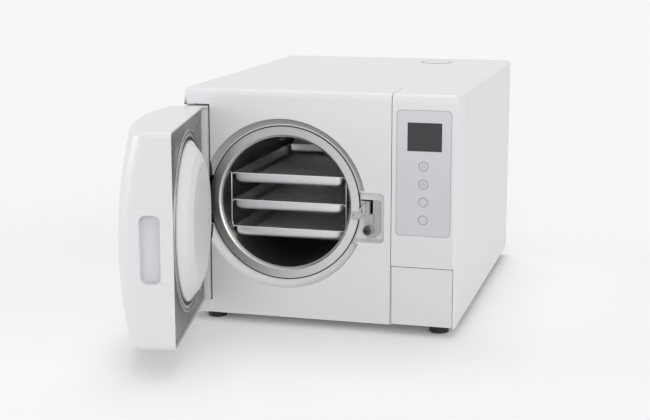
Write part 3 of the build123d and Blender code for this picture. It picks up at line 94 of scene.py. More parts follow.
# The door: how far it stands open, in degrees, and in the front's millimetres its hinge pin and the face
# that its pressure plate has when it is closed
DOOR_OPEN = 78.6
HINGE_PIN = (22.5, -22.5)
PLATE_FACE = -1.5

# The camera: its place in the front's millimetres, its turn and tilt in radians, its focal length in pixels
CAMERA_PLACE = (898.47, -2346.14, 714.97)
CAMERA_TURN, CAMERA_TILT = 0.262, -0.200
FOCAL_PIXELS, PICTURE_WIDTH_PIXELS = 1366.47, 650
SENSOR_WIDTH_MM = 36.0

# Each lamp's name, the way towards it, its spread in degrees and its strength
LAMPS = (
    ("top sun", (-0.05, 0.3, 0.95), 35.0, 0.62),
    ("left sun", (-0.95, -0.28, 0.12), 30.0, 1.0),
    ("front fill sun", (0.25, -0.9, 0.2), 60.0, 0.87),
    ("right fill sun", (0.9, -0.3, 0.3), 50.0, 0.58),
)
BACKDROP = "#F7F8F8"

# The plastics' index of refraction, and the height of a full bump in metres
PLASTIC_IOR = 1.53
BUMP_HEIGHT = 0.0002

# Nodes of the frame whose finish isn't the usual one of their slot
OWN_FINISHES = {
    "chamber_vessel": "chamber",
    "steam_baffle": "chamber",
    "flange_ring": "ring",
    "latch_plate": "latch_nickel",
    "latch_link": "link_steel",
    # The bolt is drawn dull black: painted shade, so its socket looks like a dark hole
    "latch_bolt": "gasket_black",
    "pressure_plate": "plate_steel",
}


def place(x, y, z):
    """A point given in millimetres from the cabinet's front left corner on the bench."""
    return Vector((CABINET_X + x * MM, CABINET_Y + y * MM, z * MM))


def middle_of(node):
    """The middle of a CAD node's box."""
    return [(low + high) / 2 for low, high in zip(*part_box(node))]


def linear(code):
    """Turns an sRGB hex colour into the linear values that Blender works in."""
    code = code.lstrip("#")
    channels = [int(code[i:i + 2], 16) / 255 for i in (0, 2, 4)]
    return tuple(c / 12.92 if c <= 0.04045 else ((c + 0.055) / 1.055) ** 2.4 for c in channels) + (1.0,)


def add_node(tree, kind, settings=None, links=None):
    """Adds one node to a tree, sets its sockets or properties, and links its inputs."""
    node = tree.nodes.new(kind)
    for name, value in (settings or {}).items():
        if isinstance(name, str) and hasattr(node, name):
            setattr(node, name, value)
        else:
            node.inputs[name].default_value = value
    for name, source in (links or {}).items():
        tree.links.new(source, node.inputs[name])
    return node


def new_material(name):
    """An empty node material with its output."""
    made = bpy.data.materials.new(name)
    made.use_nodes = True
    made.node_tree.nodes.clear()
    output = made.node_tree.nodes.new("ShaderNodeOutputMaterial")
    return made, made.node_tree, output


def moulded_plastic(name, colour, roughness, grain_mm, grain_depth, coat=0.0):
    """Plastic from a fine mould: even colour, a soft sheen, and a grain too small to see from far off."""
    made, tree, output = new_material(name)
    where = add_node(tree, "ShaderNodeTexCoord")
    grain = add_node(tree, "ShaderNodeTexNoise", {"Scale": 1000 / grain_mm, "Detail": 3.0},
                     {"Vector": where.outputs["Object"]})
    # Patches about 110 mm wide, over which the sheen changes a little
    patch = add_node(tree, "ShaderNodeTexNoise", {"Scale": 9.0, "Detail": 2.0},
                     {"Vector": where.outputs["Object"]})
    sheen = add_node(tree, "ShaderNodeMapRange", {"To Min": roughness - 0.03, "To Max": roughness + 0.03},
                     {"Value": patch.outputs["Fac"]})
    bump = add_node(tree, "ShaderNodeBump", {"Strength": grain_depth, "Distance": BUMP_HEIGHT},
                    {"Height": grain.outputs["Fac"]})
    skin = add_node(tree, "ShaderNodeBsdfPrincipled",
                    {"Base Color": linear(colour), "IOR": PLASTIC_IOR, "Coat Weight": coat,
                     "Coat Roughness": 0.12},
                    {"Roughness": sheen.outputs["Result"], "Normal": bump.outputs["Normal"]})
    tree.links.new(skin.outputs["BSDF"], output.inputs["Surface"])
    return made


def brushed_metal(name, colour, roughness, lines_in_100_mm, depth, stretch=(1.0, 1.0, 1.0), streak=0.0):
    """Metal with the lines of brushing, a little uneven polish, and broad streaks where they show.

    Real brush lines lie too close to show in a picture, so these are drawn as coarse as it needs.
    """
    made, tree, output = new_material(name)
    fine = lines_in_100_mm / (100 * MM)
    where = add_node(tree, "ShaderNodeTexCoord")
    along = add_node(tree, "ShaderNodeMapping", {"Scale": stretch}, {"Vector": where.outputs["Object"]})
    lines = add_node(tree, "ShaderNodeTexNoise", {"Scale": fine, "Detail": 4.0},
                     {"Vector": along.outputs["Vector"]})
    # Streaks five times as broad as the lines
    broad = add_node(tree, "ShaderNodeTexNoise", {"Scale": fine * 0.2, "Detail": 3.0},
                     {"Vector": along.outputs["Vector"]})
    # Patches about 70 mm wide, where the polish is finer or duller
    polish = add_node(tree, "ShaderNodeTexNoise", {"Scale": 14.0, "Detail": 3.0},
                      {"Vector": where.outputs["Object"]})
    sheen = add_node(tree, "ShaderNodeMapRange", {"To Min": roughness * 0.8, "To Max": roughness * 1.25},
                     {"Value": polish.outputs["Fac"]})
    pale = linear(colour)
    dark = tuple(c * (1 - streak) for c in pale[:3]) + (1.0,)
    tone = add_node(tree, "ShaderNodeMix", {"data_type": "RGBA", 6: dark, 7: pale},
                    {0: broad.outputs["Fac"]})
    bump = add_node(tree, "ShaderNodeBump", {"Strength": depth, "Distance": BUMP_HEIGHT},
                    {"Height": lines.outputs["Fac"]})
    skin = add_node(tree, "ShaderNodeBsdfPrincipled", {"Metallic": 1.0},
                    {"Base Color": tone.outputs[2], "Roughness": sheen.outputs["Result"],
                     "Normal": bump.outputs["Normal"]})
    tree.links.new(skin.outputs["BSDF"], output.inputs["Surface"])
    return made


def turned_metal(name, colour, roughness, turning):
    """Metal turned on a lathe about Y: its fine rings draw the highlights out across them."""
    made, tree, output = new_material(name)
    where = add_node(tree, "ShaderNodeTexCoord")
    # Patches 50 mm wide, where the polish is finer or duller
    polish = add_node(tree, "ShaderNodeTexNoise", {"Scale": 20.0, "Detail": 3.0},
                      {"Vector": where.outputs["Object"]})
    sheen = add_node(tree, "ShaderNodeMapRange", {"To Min": roughness * 0.85, "To Max": roughness * 1.2},
                     {"Value": polish.outputs["Fac"]})
    tangent = add_node(tree, "ShaderNodeTangent", {"direction_type": "RADIAL", "axis": "Y"})
    skin = add_node(tree, "ShaderNodeBsdfPrincipled",
                    {"Base Color": linear(colour), "Metallic": 1.0, "Anisotropic": turning},
                    {"Roughness": sheen.outputs["Result"], "Tangent": tangent.outputs["Tangent"]})
    tree.links.new(skin.outputs["BSDF"], output.inputs["Surface"])
    return made


def moulding_with_painted_shade(name, colour, shade, roughness, grain_mm, low, high):
    """Moulded white painted greyer from one height to another, as painted shade for a hollow rim."""
    made, tree, output = new_material(name)
    where = add_node(tree, "ShaderNodeTexCoord")
    parts = add_node(tree, "ShaderNodeSeparateXYZ", None, {"Vector": where.outputs["Object"]})
    height = add_node(tree, "ShaderNodeMapRange",
                      {"From Min": low, "From Max": high, "interpolation_type": "SMOOTHSTEP"},
                      {"Value": parts.outputs["Z"]})
    tone = add_node(tree, "ShaderNodeMix", {"data_type": "RGBA", 6: linear(colour), 7: linear(shade)},
                    {0: height.outputs["Result"]})
    grain = add_node(tree, "ShaderNodeTexNoise", {"Scale": 1000 / grain_mm, "Detail": 3.0},
                     {"Vector": where.outputs["Object"]})
    bump = add_node(tree, "ShaderNodeBump", {"Strength": 0.03, "Distance": BUMP_HEIGHT},
                    {"Height": grain.outputs["Fac"]})
    skin = add_node(tree, "ShaderNodeBsdfPrincipled", {"Roughness": roughness, "IOR": PLASTIC_IOR},
                    {"Base Color": tone.outputs[2], "Normal": bump.outputs["Normal"]})
    tree.links.new(skin.outputs["BSDF"], output.inputs["Surface"])
    return made


class AutoclaveColours(bpy.types.PropertyGroup):
    """Colours of the finishes that show most."""

    housing: bpy.props.StringProperty(name="Housing", description="White of the mouldings, as sRGB hex",
                                      default="#E6E6E9")
    cover: bpy.props.StringProperty(name="Cover", description="White of the enamelled cover, as sRGB hex",
                                    default="#E8E8EB")
    keypad: bpy.props.StringProperty(name="Key panel", description="Grey of the key panel film, as sRGB hex",
                                     default="#D5D5DA")
    steel: bpy.props.StringProperty(name="Steel", description="Colour of the polished steel, as sRGB hex",
                                    default="#C9C8C7")


class AutoclaveSizes(bpy.types.PropertyGroup):
    """Sizes of the small parts that are added to the frame."""

    key_ring: bpy.props.FloatProperty(name="Key ring", description="Width of the printed ring round a key",
                                      default=0.001, unit="LENGTH")
    rim_hollow: bpy.props.FloatProperty(name="Rim hollow", default=0.014, unit="LENGTH",
                                        description="Depth of the hollowed rim round the ring")
    ring_bevel: bpy.props.FloatProperty(name="Bevel inside the ring", default=0.0032, unit="LENGTH",
                                        description="Width of the ring's inner bevel")
    ring_gap: bpy.props.FloatProperty(name="Ring gap", default=0.001, unit="LENGTH",
                                      description="Gap between the steel ring and the moulding")
    tray_width: bpy.props.FloatProperty(name="Tray width", description="Width of a tray under its rim",
                                        default=0.208, unit="LENGTH")
    hole_pitch: bpy.props.FloatProperty(name="Hole pitch", default=0.008, unit="LENGTH",
                                        description="Distance from hole to hole in a tray")
    hole_width: bpy.props.FloatProperty(name="Hole width", description="Width of a hole in a tray",
                                        default=0.0036, unit="LENGTH")
    wire_radius: bpy.props.FloatProperty(name="Wire radius", description="Radius of the wires of the rack",
                                         default=0.0013, unit="LENGTH")
    floor_size: bpy.props.FloatProperty(name="Floor", description="Side of the floor", default=60.0,
                                        unit="LENGTH")


def colours():
    """The user's colours."""
    return bpy.context.scene.autoclave_colours


def sizes():
    """The user's sizes."""
    return bpy.context.scene.autoclave_sizes


def finishes():
    """Makes every finish once, by the name of its kind."""
    user = colours()
    table = {}
    # ABS, injection moulded: a satin white with broad soft highlights
    table["white_moulding"] = moulded_plastic("moulded white ABS", user.housing, 0.34, 0.6, 0.03, 0.1)
    # The same moulding round the ring, greyer towards the top: painted shade, where the rim lies in shadow
    table["rim"] = moulding_with_painted_shade("moulded white ABS rim with painted shade", user.housing, "#A5A5A6", 0.34, 0.625,
                                   RING_Z - 0.05, RING_Z + 0.1)
    # Powder coated sheet: slightly rougher than the mouldings, with a faint orange peel
    table["white_enamel"] = moulded_plastic("powder coated white sheet", user.cover, 0.42, 1.2, 0.05)
    # Printed polyester film: flat grey with almost no gloss
    table["keypad_film"] = moulded_plastic("printed polyester film", user.keypad, 0.5, 0.8, 0.02)
    # The film's cut edge: a greyer line round its face, painted shade for the edge
    table["film_edge_shade_line"] = moulded_plastic("cut edge of the film with painted shade", "#ADADB1", 0.5, 0.8, 0.0)
    # Keys embossed in the film: the same grey, a little glossier on their domes
    table["key_dome"] = moulded_plastic("embossed film key", "#D4D4D8", 0.45, 0.8, 0.02)
    # Screen print on the film: a fine grey line without gloss
    table["print_grey"] = moulded_plastic("grey screen print", "#8F8F94", 0.55, 0.8, 0.0)
    # Smoked acrylic over a dark screen: sharp reflections on a deep grey
    table["display_glass"] = moulded_plastic("smoked acrylic window", "#26252C", 0.12, 3.0, 0.0, 0.2)
    # Stainless steel, polished: bright, with soft-edged reflections
    table["steel_bright"] = brushed_metal("polished stainless steel", user.steel, 0.3, 50, 0.015)
    # Stainless steel turned on a lathe: the light is drawn out across its fine rings
    table["ring"] = turned_metal("turned stainless steel", user.steel, 0.3, 0.55)
    # Satin nickel plating on the latch: darker than the ring, with soft reflections
    table["latch_nickel"] = brushed_metal("satin nickel plated steel", "#A8A6A4", 0.38, 60, 0.03)
    # Satin steel: duller than the ring that the link is fixed to
    table["link_steel"] = brushed_metal("satin steel link", "#B4B2B0", 0.42, 60, 0.03)
    # Ground stainless steel: bright, with darker upright streaks
    table["plate_steel"] = brushed_metal("ground stainless steel plate", "#B9B8B7", 0.3, 50, 0.04,
                                         (1.0, 1.0, 0.2), 0.35)
    # Stainless sheet with a fine upright brushing: it scatters the light into a mid grey
    table["steel_dark"] = brushed_metal("brushed stainless sheet", "#A6A6A8", 0.36, 70, 0.05,
                                        (1.0, 1.0, 0.03), 0.5)
    # Steel blackened in oil: dull, with a grey sheen on its edges
    table["blackened_steel"] = brushed_metal("oil blackened steel", "#4A4A4C", 0.42, 40, 0.05)
    # Deep drawn stainless steel: long faint lines that run back into the chamber
    table["chamber"] = brushed_metal("drawn stainless chamber", "#B0ADA9", 0.3, 42, 0.03, (1.0, 0.06, 1.0))
    # Anodised aluminium: matt silver, evenly grey from any side
    table["tray_aluminium"] = brushed_metal("anodised aluminium sheet", "#E4E4E6", 0.42, 30, 0.03)
    # Bare aluminium, punched: the edges of the trays and of their holes show as bright specks
    table["cut_edge"] = moulded_plastic("bare punched aluminium edge", "#F2F2F2", 0.3, 1.0, 0.0)
    # Moulded silicone: white, soft and dull
    table["seal_silicone"] = moulded_plastic("white silicone", "#E6E6E9", 0.42, 1.0, 0.03)
    # Moulded rubber: near black, with only a dull broad sheen
    # Also given to the black strips and rings that are painted shade in seams, gaps and the latch's hole
    table["gasket_black"] = moulded_plastic("black moulded rubber", "#17171A", 0.55, 0.9, 0.1)
    # Harder rubber of the feet: a little rougher than the gasket
    table["foot_rubber"] = moulded_plastic("black foot rubber", "#141416", 0.6, 0.9, 0.12)
    # Zinc plated sheet: bluish grey with large soft spangles
    table["zinc_sheet"] = brushed_metal("zinc plated sheet", "#A6ABB0", 0.4, 6, 0.04)
    # Cast iron, painted: black over the coarse skin of the casting
    table["hinge_iron"] = moulded_plastic("black painted cast iron", "#232326", 0.5, 1.4, 0.3)
    # Mineral felt: warm pale grey, matt and fibrous
    table["insulation_felt"] = moulded_plastic("mineral felt", "#CFC8B4", 0.9, 2.0, 0.6)
    # Brass, machined: yellow with clear tool lines
    table["brass_fitting"] = brushed_metal("machined brass", "#C9A45A", 0.3, 50, 0.08)
    # Black ABS: satin black with a faint grain
    table["black_moulding"] = moulded_plastic("black ABS", "#18181A", 0.42, 0.8, 0.1)
    # Grey ABS: satin mid grey, for what lies behind the service flap
    table["grey_moulding"] = moulded_plastic("grey ABS", "#8B8B8F", 0.45, 0.8, 0.08)
    # Circuit board under its lacquer: dark green with a gentle gloss
    table["board_green"] = moulded_plastic("green circuit board", "#1F5B36", 0.4, 1.5, 0.05)
    # Polypropylene without pigment: milky and slightly wavy
    table["tank_plastic"] = moulded_plastic("natural polypropylene", "#DADBD5", 0.45, 1.5, 0.06)
    return table


FINISH = {}


def finish(name):
    """One finish, made when it is first asked for."""
    if not FINISH:
        FINISH.update(finishes())
    return FINISH[name]


def dress(obj, *materials):
    """Gives a piece its finishes: one all over, or a second for the edges that a wall's thickness brings."""
    obj.data.materials.clear()
    for material in materials:
        obj.data.materials.append(material)


def deselect():
    """Leaves edit mode and clears the selection."""
    if bpy.context.object and bpy.context.object.mode != "OBJECT":
        bpy.ops.object.mode_set(mode="OBJECT")
    bpy.ops.object.select_all(action="DESELECT")


def choose(obj):
    """Makes one piece the active one and the only one selected."""
    deselect()
    obj.select_set(True)
    bpy.context.view_layer.objects.active = obj


def settle(obj, name, material, body):
    """Names a finished piece, puts its place in its mesh, and hands it to the frame."""
    choose(obj)
    bpy.ops.object.transform_apply(location=True, rotation=True, scale=True)
    obj.name = name
    obj.data.name = name
    if material:
        dress(obj, material)
    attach(obj, body)


def edit(obj, kind="FACE"):
    """Opens one piece for editing with nothing selected."""
    choose(obj)
    bpy.ops.object.mode_set(mode="EDIT")
    bpy.ops.mesh.select_mode(type=kind)
    bpy.ops.mesh.select_all(action="DESELECT")


def grab(obj, test, kind="EDGE"):
    """Opens a piece and selects the edges or corners whose middle and direction pass a test."""
    edit(obj, kind)
    bpy.ops.object.mode_set(mode="OBJECT")
    mesh = obj.data
    if kind == "EDGE":
        for edge in mesh.edges:
            near, far = (mesh.vertices[i].co for i in edge.vertices)
            edge.select = bool(test((near + far) / 2, (far - near).normalized()))
    else:
        for corner in mesh.vertices:
            corner.select = bool(test(corner.co, corner.normal))
    bpy.ops.object.mode_set(mode="EDIT")


def block(low, high):
    """A box between two corners, as the start of a piece or as a tool to cut with."""
    deselect()
    bpy.ops.mesh.primitive_cube_add(size=1, location=(Vector(low) + Vector(high)) / 2,
                                    scale=[end - start for start, end in zip(low, high)])
    bpy.ops.object.transform_apply(location=True, rotation=True, scale=True)
    return bpy.context.object


def front_tool(left, right, foot, top):
    """A block to cut with, in the front's millimetres, that passes through the front from face to back."""
    before, behind = -5, 60
    return block(place(left, before, foot), place(right, behind, top))


def disc(middle, radius, depth, sides):
    """A short cylinder that lies along Y behind a point, as the start of a turned piece."""
    deselect()
    bpy.ops.mesh.primitive_cylinder_add(vertices=sides, radius=radius, depth=depth, rotation=FORWARDS,
                                        location=(middle[0], middle[1] + depth / 2, middle[2]))
    bpy.ops.object.transform_apply(location=True, rotation=True, scale=True)
    return bpy.context.object


def hoop(middle, radius, wire, sides=160, wire_sides=8, turned=FORWARDS):
    """A round wire bent to a ring about a point, as the start of a seal or a bead."""
    deselect()
    bpy.ops.mesh.primitive_torus_add(location=middle, rotation=turned, major_radius=radius,
                                     minor_radius=wire, major_segments=sides, minor_segments=wire_sides)
    return bpy.context.object


def modify(obj, kind, **settings):
    """Adds one modifier to a piece and applies it."""
    choose(obj)
    bpy.ops.object.modifier_add(type=kind)
    modifier = obj.modifiers[-1]
    for name, value in settings.items():
        setattr(modifier, name, value)
    bpy.ops.object.modifier_apply(modifier=modifier.name)


def cut(obj, tool):
    """Takes the shape of a tool out of a piece and removes the tool."""
    modify(obj, "BOOLEAN", operation="DIFFERENCE", object=tool, solver="EXACT")
    bpy.data.objects.remove(tool)


def soften(obj, degrees=35):
    """Shades a piece smoothly, except across its real edges."""
    choose(obj)
    bpy.ops.object.shade_smooth_by_angle(angle=math.radians(degrees))


def tidy_normals(obj):
    """Merges a piece's double corners and turns all its faces outwards."""
    edit(obj)
    bpy.ops.mesh.select_all(action="SELECT")
    bpy.ops.mesh.remove_doubles(threshold=1e-6)
    bpy.ops.mesh.normals_make_consistent(inside=False)
    deselect()


def copied(node, name):
    """A new piece with the mesh of a CAD node, its loose triangles merged."""
    piece = bpy.data.objects.new(name, FRAME["nodes"][node].data.copy())
    bpy.context.scene.collection.objects.link(piece)
    tidy_normals(piece)
    return piece


def even_shading(obj):
    """Makes one face of the many in one plane, and lets large faces lead the shading round them."""
    edit(obj)
    bpy.ops.mesh.select_all(action="SELECT")
    bpy.ops.mesh.dissolve_limited(angle_limit=math.radians(0.4))
    soften(obj, 30)
    modify(obj, "WEIGHTED_NORMAL", keep_sharp=True, weight=100)


def joined(parts):
    """Several pieces made one."""
    deselect()
    for part in parts:
        part.select_set(True)
    bpy.context.view_layer.objects.active = parts[0]
    bpy.ops.object.join()
    return parts[0]


def rod(start, end, radius, sides=10):
    """A straight wire with rounded ends, drawn from one point to the other."""
    deselect()
    along = Vector(end) - Vector(start)
    bpy.ops.mesh.primitive_circle_add(vertices=sides, radius=radius, fill_type="NGON", location=start,
                                      rotation=along.to_track_quat("Z", "Y").to_euler())
    bpy.ops.object.transform_apply(location=True, rotation=True, scale=True)
    obj = bpy.context.object
    edit(obj)
    bpy.ops.mesh.select_all(action="SELECT")
    bpy.ops.mesh.extrude_region_move(TRANSFORM_OT_translate={"value": along})
    aim, rounding = along.normalized(), radius * 0.45
    grab(obj, lambda middle, way: abs(way.dot(aim)) < 0.1)
    bpy.ops.mesh.bevel(offset=rounding, segments=2, affect="EDGES")
    tidy_normals(obj)
    soften(obj)
    return obj


class AUTOCLAVE_OT_frame_finishes(bpy.types.Operator):
    """Gives every piece of the frame its finish"""

    bl_idname = "autoclave.frame_finishes"
    bl_label = "Finishes of the frame"

    def execute(self, context):
        for part in FRAME["record"]["subparts"]:
            node = part["node"]
            dress(FRAME["nodes"][node], finish(OWN_FINISHES.get(node, part["material_slot"])))
        return {"FINISHED"}


def front_moulding(inner, hollow):
    """The front moulding, with the room for its hollowed rim cut away."""
    panel = copied("front_panel", "front_moulding")
    # The room is a hair smaller than the rim, so that they overlap, and it keeps clear of the latch pocket
    ahead, bite, lap = 0.004, 0.0002, 0.0003
    room = disc((RING_X, CABINET_Y - ahead, RING_Z), inner + hollow - bite, ahead + hollow - lap, 128)
    aside, spare = 5, 2.2
    cut(room, front_tool(POCKET_LEFT - aside, PAST_RIGHT, POCKET_FOOT - spare, POCKET_TOP + spare))
    cut(panel, room)
    even_shading(panel)
    settle(panel, "front_moulding", finish("white_moulding"), "cabinet")
    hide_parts("front_panel")


def opening_rim(inner, hollow):
    """The hollowed rim: a quarter of a tube's wall, open where the latch pocket, notch and recess are."""
    wall, hair = 0.0012, 1e-5
    rim = hoop((RING_X, CABINET_Y, RING_Z), inner, hollow, wire_sides=40)
    bpy.ops.object.transform_apply(location=True, rotation=True, scale=True)

    def past_the_quarter(point, normal):
        inside = math.hypot(point.x - RING_X, point.z - RING_Z) < inner - hair
        return inside or point.y < CABINET_Y - hair

    grab(rim, past_the_quarter, "VERT")
    bpy.ops.mesh.delete(type="VERT")
    modify(rim, "SOLIDIFY", thickness=wall, offset=1.0)
    tidy_normals(rim)
    cut(rim, front_tool(POCKET_LEFT, PAST_RIGHT, POCKET_FOOT, POCKET_TOP))
    cut(rim, front_tool(PAST_LEFT, NOTCH_RIGHT, RING_Z_MM - NOTCH_HALF, RING_Z_MM + NOTCH_HALF))
    cut(rim, front_tool(PAST_LEFT, RECESS_RIGHT, RECESS_FOOT, RECESS_TOP))
    soften(rim, 30)
    # The rim's finish is painted greyer towards the top: painted shade
    settle(rim, "opening_rim", finish("rim"), "cabinet")


class AUTOCLAVE_OT_front_moulding(bpy.types.Operator):
    """Gives the front moulding its hollowed rim and a black ring in the ring's gap, both with painted shade
    """

    bl_idname = "autoclave.front_moulding"
    bl_label = "Front moulding"

    def execute(self, context):
        hollow = sizes().rim_hollow
        inner = RING_RADIUS + sizes().ring_gap
        front_moulding(inner, hollow)
        opening_rim(inner, hollow)
        # A thin black ring sunk in the gap round the steel ring: painted shade for the gap
        sunk, clear, thick = 0.0004, 0.0003, 0.0009
        seal = hoop((RING_X, RING_LOW[1] + sunk, RING_Z), RING_RADIUS + clear, thick)
        settle(seal, "ring_gap_shade", finish("gasket_black"), "cabinet")
        return {"FINISHED"}


class AUTOCLAVE_OT_chamber_ring(bpy.types.Operator):
    """Gives the chamber's ring its turned inner bevel, which shows as a bright line"""

    bl_idname = "autoclave.chamber_ring"
    bl_label = "Chamber ring"

    def execute(self, context):
        wide, deep, overlap = sizes().ring_bevel, 0.003, 0.0001
        bore = RING_RADIUS - RING_WIDTH
        ring = copied("flange_ring", "turned_ring")
        deselect()
        # The cone's middle lies on the ring's face, so that its narrow half cuts the bevel
        bpy.ops.mesh.primitive_cone_add(vertices=192, radius1=bore + 2 * wide, radius2=bore - overlap,
                                        depth=2 * deep, location=(RING_X, RING_LOW[1], RING_Z),
                                        rotation=(-math.pi / 2, 0, 0))
        bpy.ops.object.transform_apply(location=True, rotation=True, scale=True)
        cut(ring, context.object)
        even_shading(ring)
        settle(ring, "turned_ring", finish("ring"), "cabinet")
        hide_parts("flange_ring")
        return {"FINISHED"}


def punched_floor(middle, level, across, along):
    """A tray's floor with its holes: octagons with a raised edge, in every second row."""
    user = sizes()
    columns, rows = round(across / user.hole_pitch), round(along / user.hole_pitch)
    raised_edge, rise = 0.0006, 0.001
    deselect()
    bpy.ops.mesh.primitive_grid_add(x_subdivisions=columns, y_subdivisions=rows, size=1,
                                    location=(middle[0], middle[1], level))
    floor = bpy.context.object
    dress(floor, finish("tray_aluminium"), finish("cut_edge"))
    floor.scale = (across, along, 1)
    bpy.ops.object.transform_apply(location=True, rotation=True, scale=True)
    edit(floor)
    bpy.ops.mesh.select_all(action="SELECT")
    bpy.ops.mesh.inset(thickness=user.hole_pitch / 2 - user.hole_width / 2, use_individual=True)
    # A square whose corners lose this share of its width is an even octagon
    bpy.ops.mesh.bevel(offset=user.hole_width * 0.29, segments=1, affect="VERTICES")
    edit(floor)
    bpy.ops.object.mode_set(mode="OBJECT")
    for face in floor.data.polygons:
        row = int((face.center.y - middle[1] + along / 2) * rows / along)
        face.select = len(face.vertices) == 8 and row % 2 == 1
    bpy.ops.object.mode_set(mode="EDIT")
    bpy.ops.mesh.inset(thickness=raised_edge, use_individual=True)
    bpy.ops.transform.translate(value=(0, 0, rise))
    bpy.ops.mesh.select_more()
    floor.active_material_index = 1
    bpy.ops.object.material_slot_assign()
    bpy.ops.mesh.select_less()
    bpy.ops.mesh.delete(type="FACE")
    return floor


def draw_out(tray, middle, steps):
    """Draws a tray's selected border out in steps, each to a half width and half length and by a rise."""
    for wide, long, rise in steps:
        bpy.ops.object.mode_set(mode="OBJECT")
        picked = [corner.co.copy() for corner in tray.data.vertices if corner.select]
        span_x = max(spot.x for spot in picked) - middle[0]
        span_y = max(spot.y for spot in picked) - middle[1]
        bpy.ops.object.mode_set(mode="EDIT")
        bpy.ops.mesh.extrude_edges_move(TRANSFORM_OT_translate={"value": (0, 0, rise)})
        bpy.ops.transform.resize(value=(wide / span_x, long / span_y, 1))


def punched_tray(number):
    """One tray: its punched floor, its tapered walls with rounded corners, and the lip round their top."""
    sheet, under = 0.0012, 0.0008
    # The field of holes, across the tray and along it
    across, along = 0.176, 0.334
    taper, lip, corner, foot_bend = 0.0015, 0.002, 0.014, 0.009
    # How far the rounded corners draw the foot of the walls in
    drawn_in = corner * 0.31
    hair, close, clear_of_floor = 1e-5, 0.004, 0.002
    low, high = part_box(f"tray_{number}")
    middle = middle_of(f"tray_{number}")
    wide, long = sizes().tray_width / 2, (high[1] - low[1]) / 2 - lip
    top = high[2] - sheet / 2
    depth = top - low[2] - under
    level = top - depth
    tray = punched_floor(middle, level, across, along)

    def from_middle(point):
        return abs(point.x - middle[0]), abs(point.y - middle[1])

    def on_border(point, way):
        x, y = from_middle(point)
        return abs(x - across / 2) < hair or abs(y - along / 2) < hair

    def on_wall_corner(point, way):
        x, y = from_middle(point)
        upright = abs(way.z) > 0.9 and point.z > level + clear_of_floor
        return upright and x > wide - close and y > long - close

    def on_wall_foot(point, way):
        x, y = from_middle(point)
        flat = abs(point.z - level) < hair and abs(way.z) < 0.1
        return flat and (x > wide - taper - drawn_in or y > long - taper - drawn_in)

    grab(tray, on_border)
    steps = ((wide - taper, long - taper, 0), (wide, long, depth), (wide + lip, long + lip, 0))
    draw_out(tray, middle, steps)
    grab(tray, on_wall_corner)
    bpy.ops.mesh.bevel(offset=corner, segments=6, affect="EDGES")
    grab(tray, on_wall_foot)
    bpy.ops.mesh.bevel(offset=foot_bend, segments=5, affect="EDGES")
    tidy_normals(tray)
    modify(tray, "SOLIDIFY", thickness=sheet, offset=0.0, material_offset_rim=1)
    soften(tray)
    settle(tray, f"punched_tray_{number}", None, f"tray_{number}")
    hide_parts(f"tray_{number}")


class AUTOCLAVE_OT_trays(bpy.types.Operator):
    """Makes the three punched trays"""

    bl_idname = "autoclave.trays"
    bl_label = "Punched trays"

    def execute(self, context):
        for number in (1, 2, 3):
            punched_tray(number)
        return {"FINISHED"}


class AUTOCLAVE_OT_wire_rack(bpy.types.Operator):
    """Makes the wire rack that carries the trays"""

    bl_idname = "autoclave.wire_rack"
    bl_label = "Wire rack"

    def execute(self, context):
        wire = sizes().wire_radius
        # A rail's middle lies under a tray's lip by the sheet, the wire and a running gap
        sheet, gap = 0.0012, 0.0008
        levels = [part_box(f"tray_{number}")[1][2] - sheet - wire - gap for number in (1, 2, 3)]
        front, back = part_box("tray_1")[0][1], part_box("rack_frame")[1][1] - 0.004
        rail_aside, post_aside = 0.107, 0.1105
        rail_start, post_top = front + 0.003, levels[0] + 0.003
        post_rows = (front + 0.005, back - 0.03)
        # A rail that lies below the posts' foot is held by short wires that slant up to it
        foot, lowest_hold = RING_Z - 0.046, RING_Z - 0.0455
        wires = []
        for side in (-1, 1):
            post, rail = RING_X + side * post_aside, RING_X + side * rail_aside
            for y in post_rows:
                wires.append(rod((post, y, foot), (post, y, post_top), wire))
            for z in levels:
                wires.append(rod((rail, rail_start, z), (rail, back, z), wire))
                for y in post_rows:
                    hold = z if z > foot else lowest_hold
                    wires.append(rod((rail, y, z), (post, y, hold), wire * 0.9, 8))
        for z in levels:
            wires.append(rod((RING_X - rail_aside, back, z), (RING_X + rail_aside, back, z), wire))
        rack = joined(wires)
        settle(rack, "wire_rack", finish("steel_bright"), "cabinet")
        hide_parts("rack_frame")
        return {"FINISHED"}


class AUTOCLAVE_OT_latch_socket(bpy.types.Operator):
    """Adds the dark socket round the latch bolt, and the pin of the link beside the ring"""

    bl_idname = "autoclave.latch_socket"
    bl_label = "Latch socket and link pin"

    def execute(self, context):
        low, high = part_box("latch_bolt")
        x, z = middle_of("latch_bolt")[::2]
        front = CABINET_Y + 0.0012
        # The socket sits a little to the right of the bolt and above it
        right, above, radius, depth, rounding = 0.002, 0.0004, 0.0079, 0.0105, 0.0014
        socket = disc((x + right, front, z + above), radius, depth, 48)
        grab(socket, lambda point, way: point.y < front + 1e-4 and abs(way.y) < 0.1)
        bpy.ops.mesh.bevel(offset=rounding, segments=3, affect="EDGES")
        ahead, play, through = 0.002, 0.0002, 0.02
        cut(socket, disc((x, front - ahead, z), (high[0] - low[0]) / 2 + play, through, 32))
        soften(socket)
        settle(socket, "latch_socket", finish("blackened_steel"), "cabinet")
        pin_place, pin_radius, pin_length = place(318.8, 11.15, 213.2), 0.0011, 0.0008
        pin = disc(pin_place, pin_radius, pin_length, 24)
        settle(pin, "link_pin", finish("gasket_black"), "cabinet")
        return {"FINISHED"}


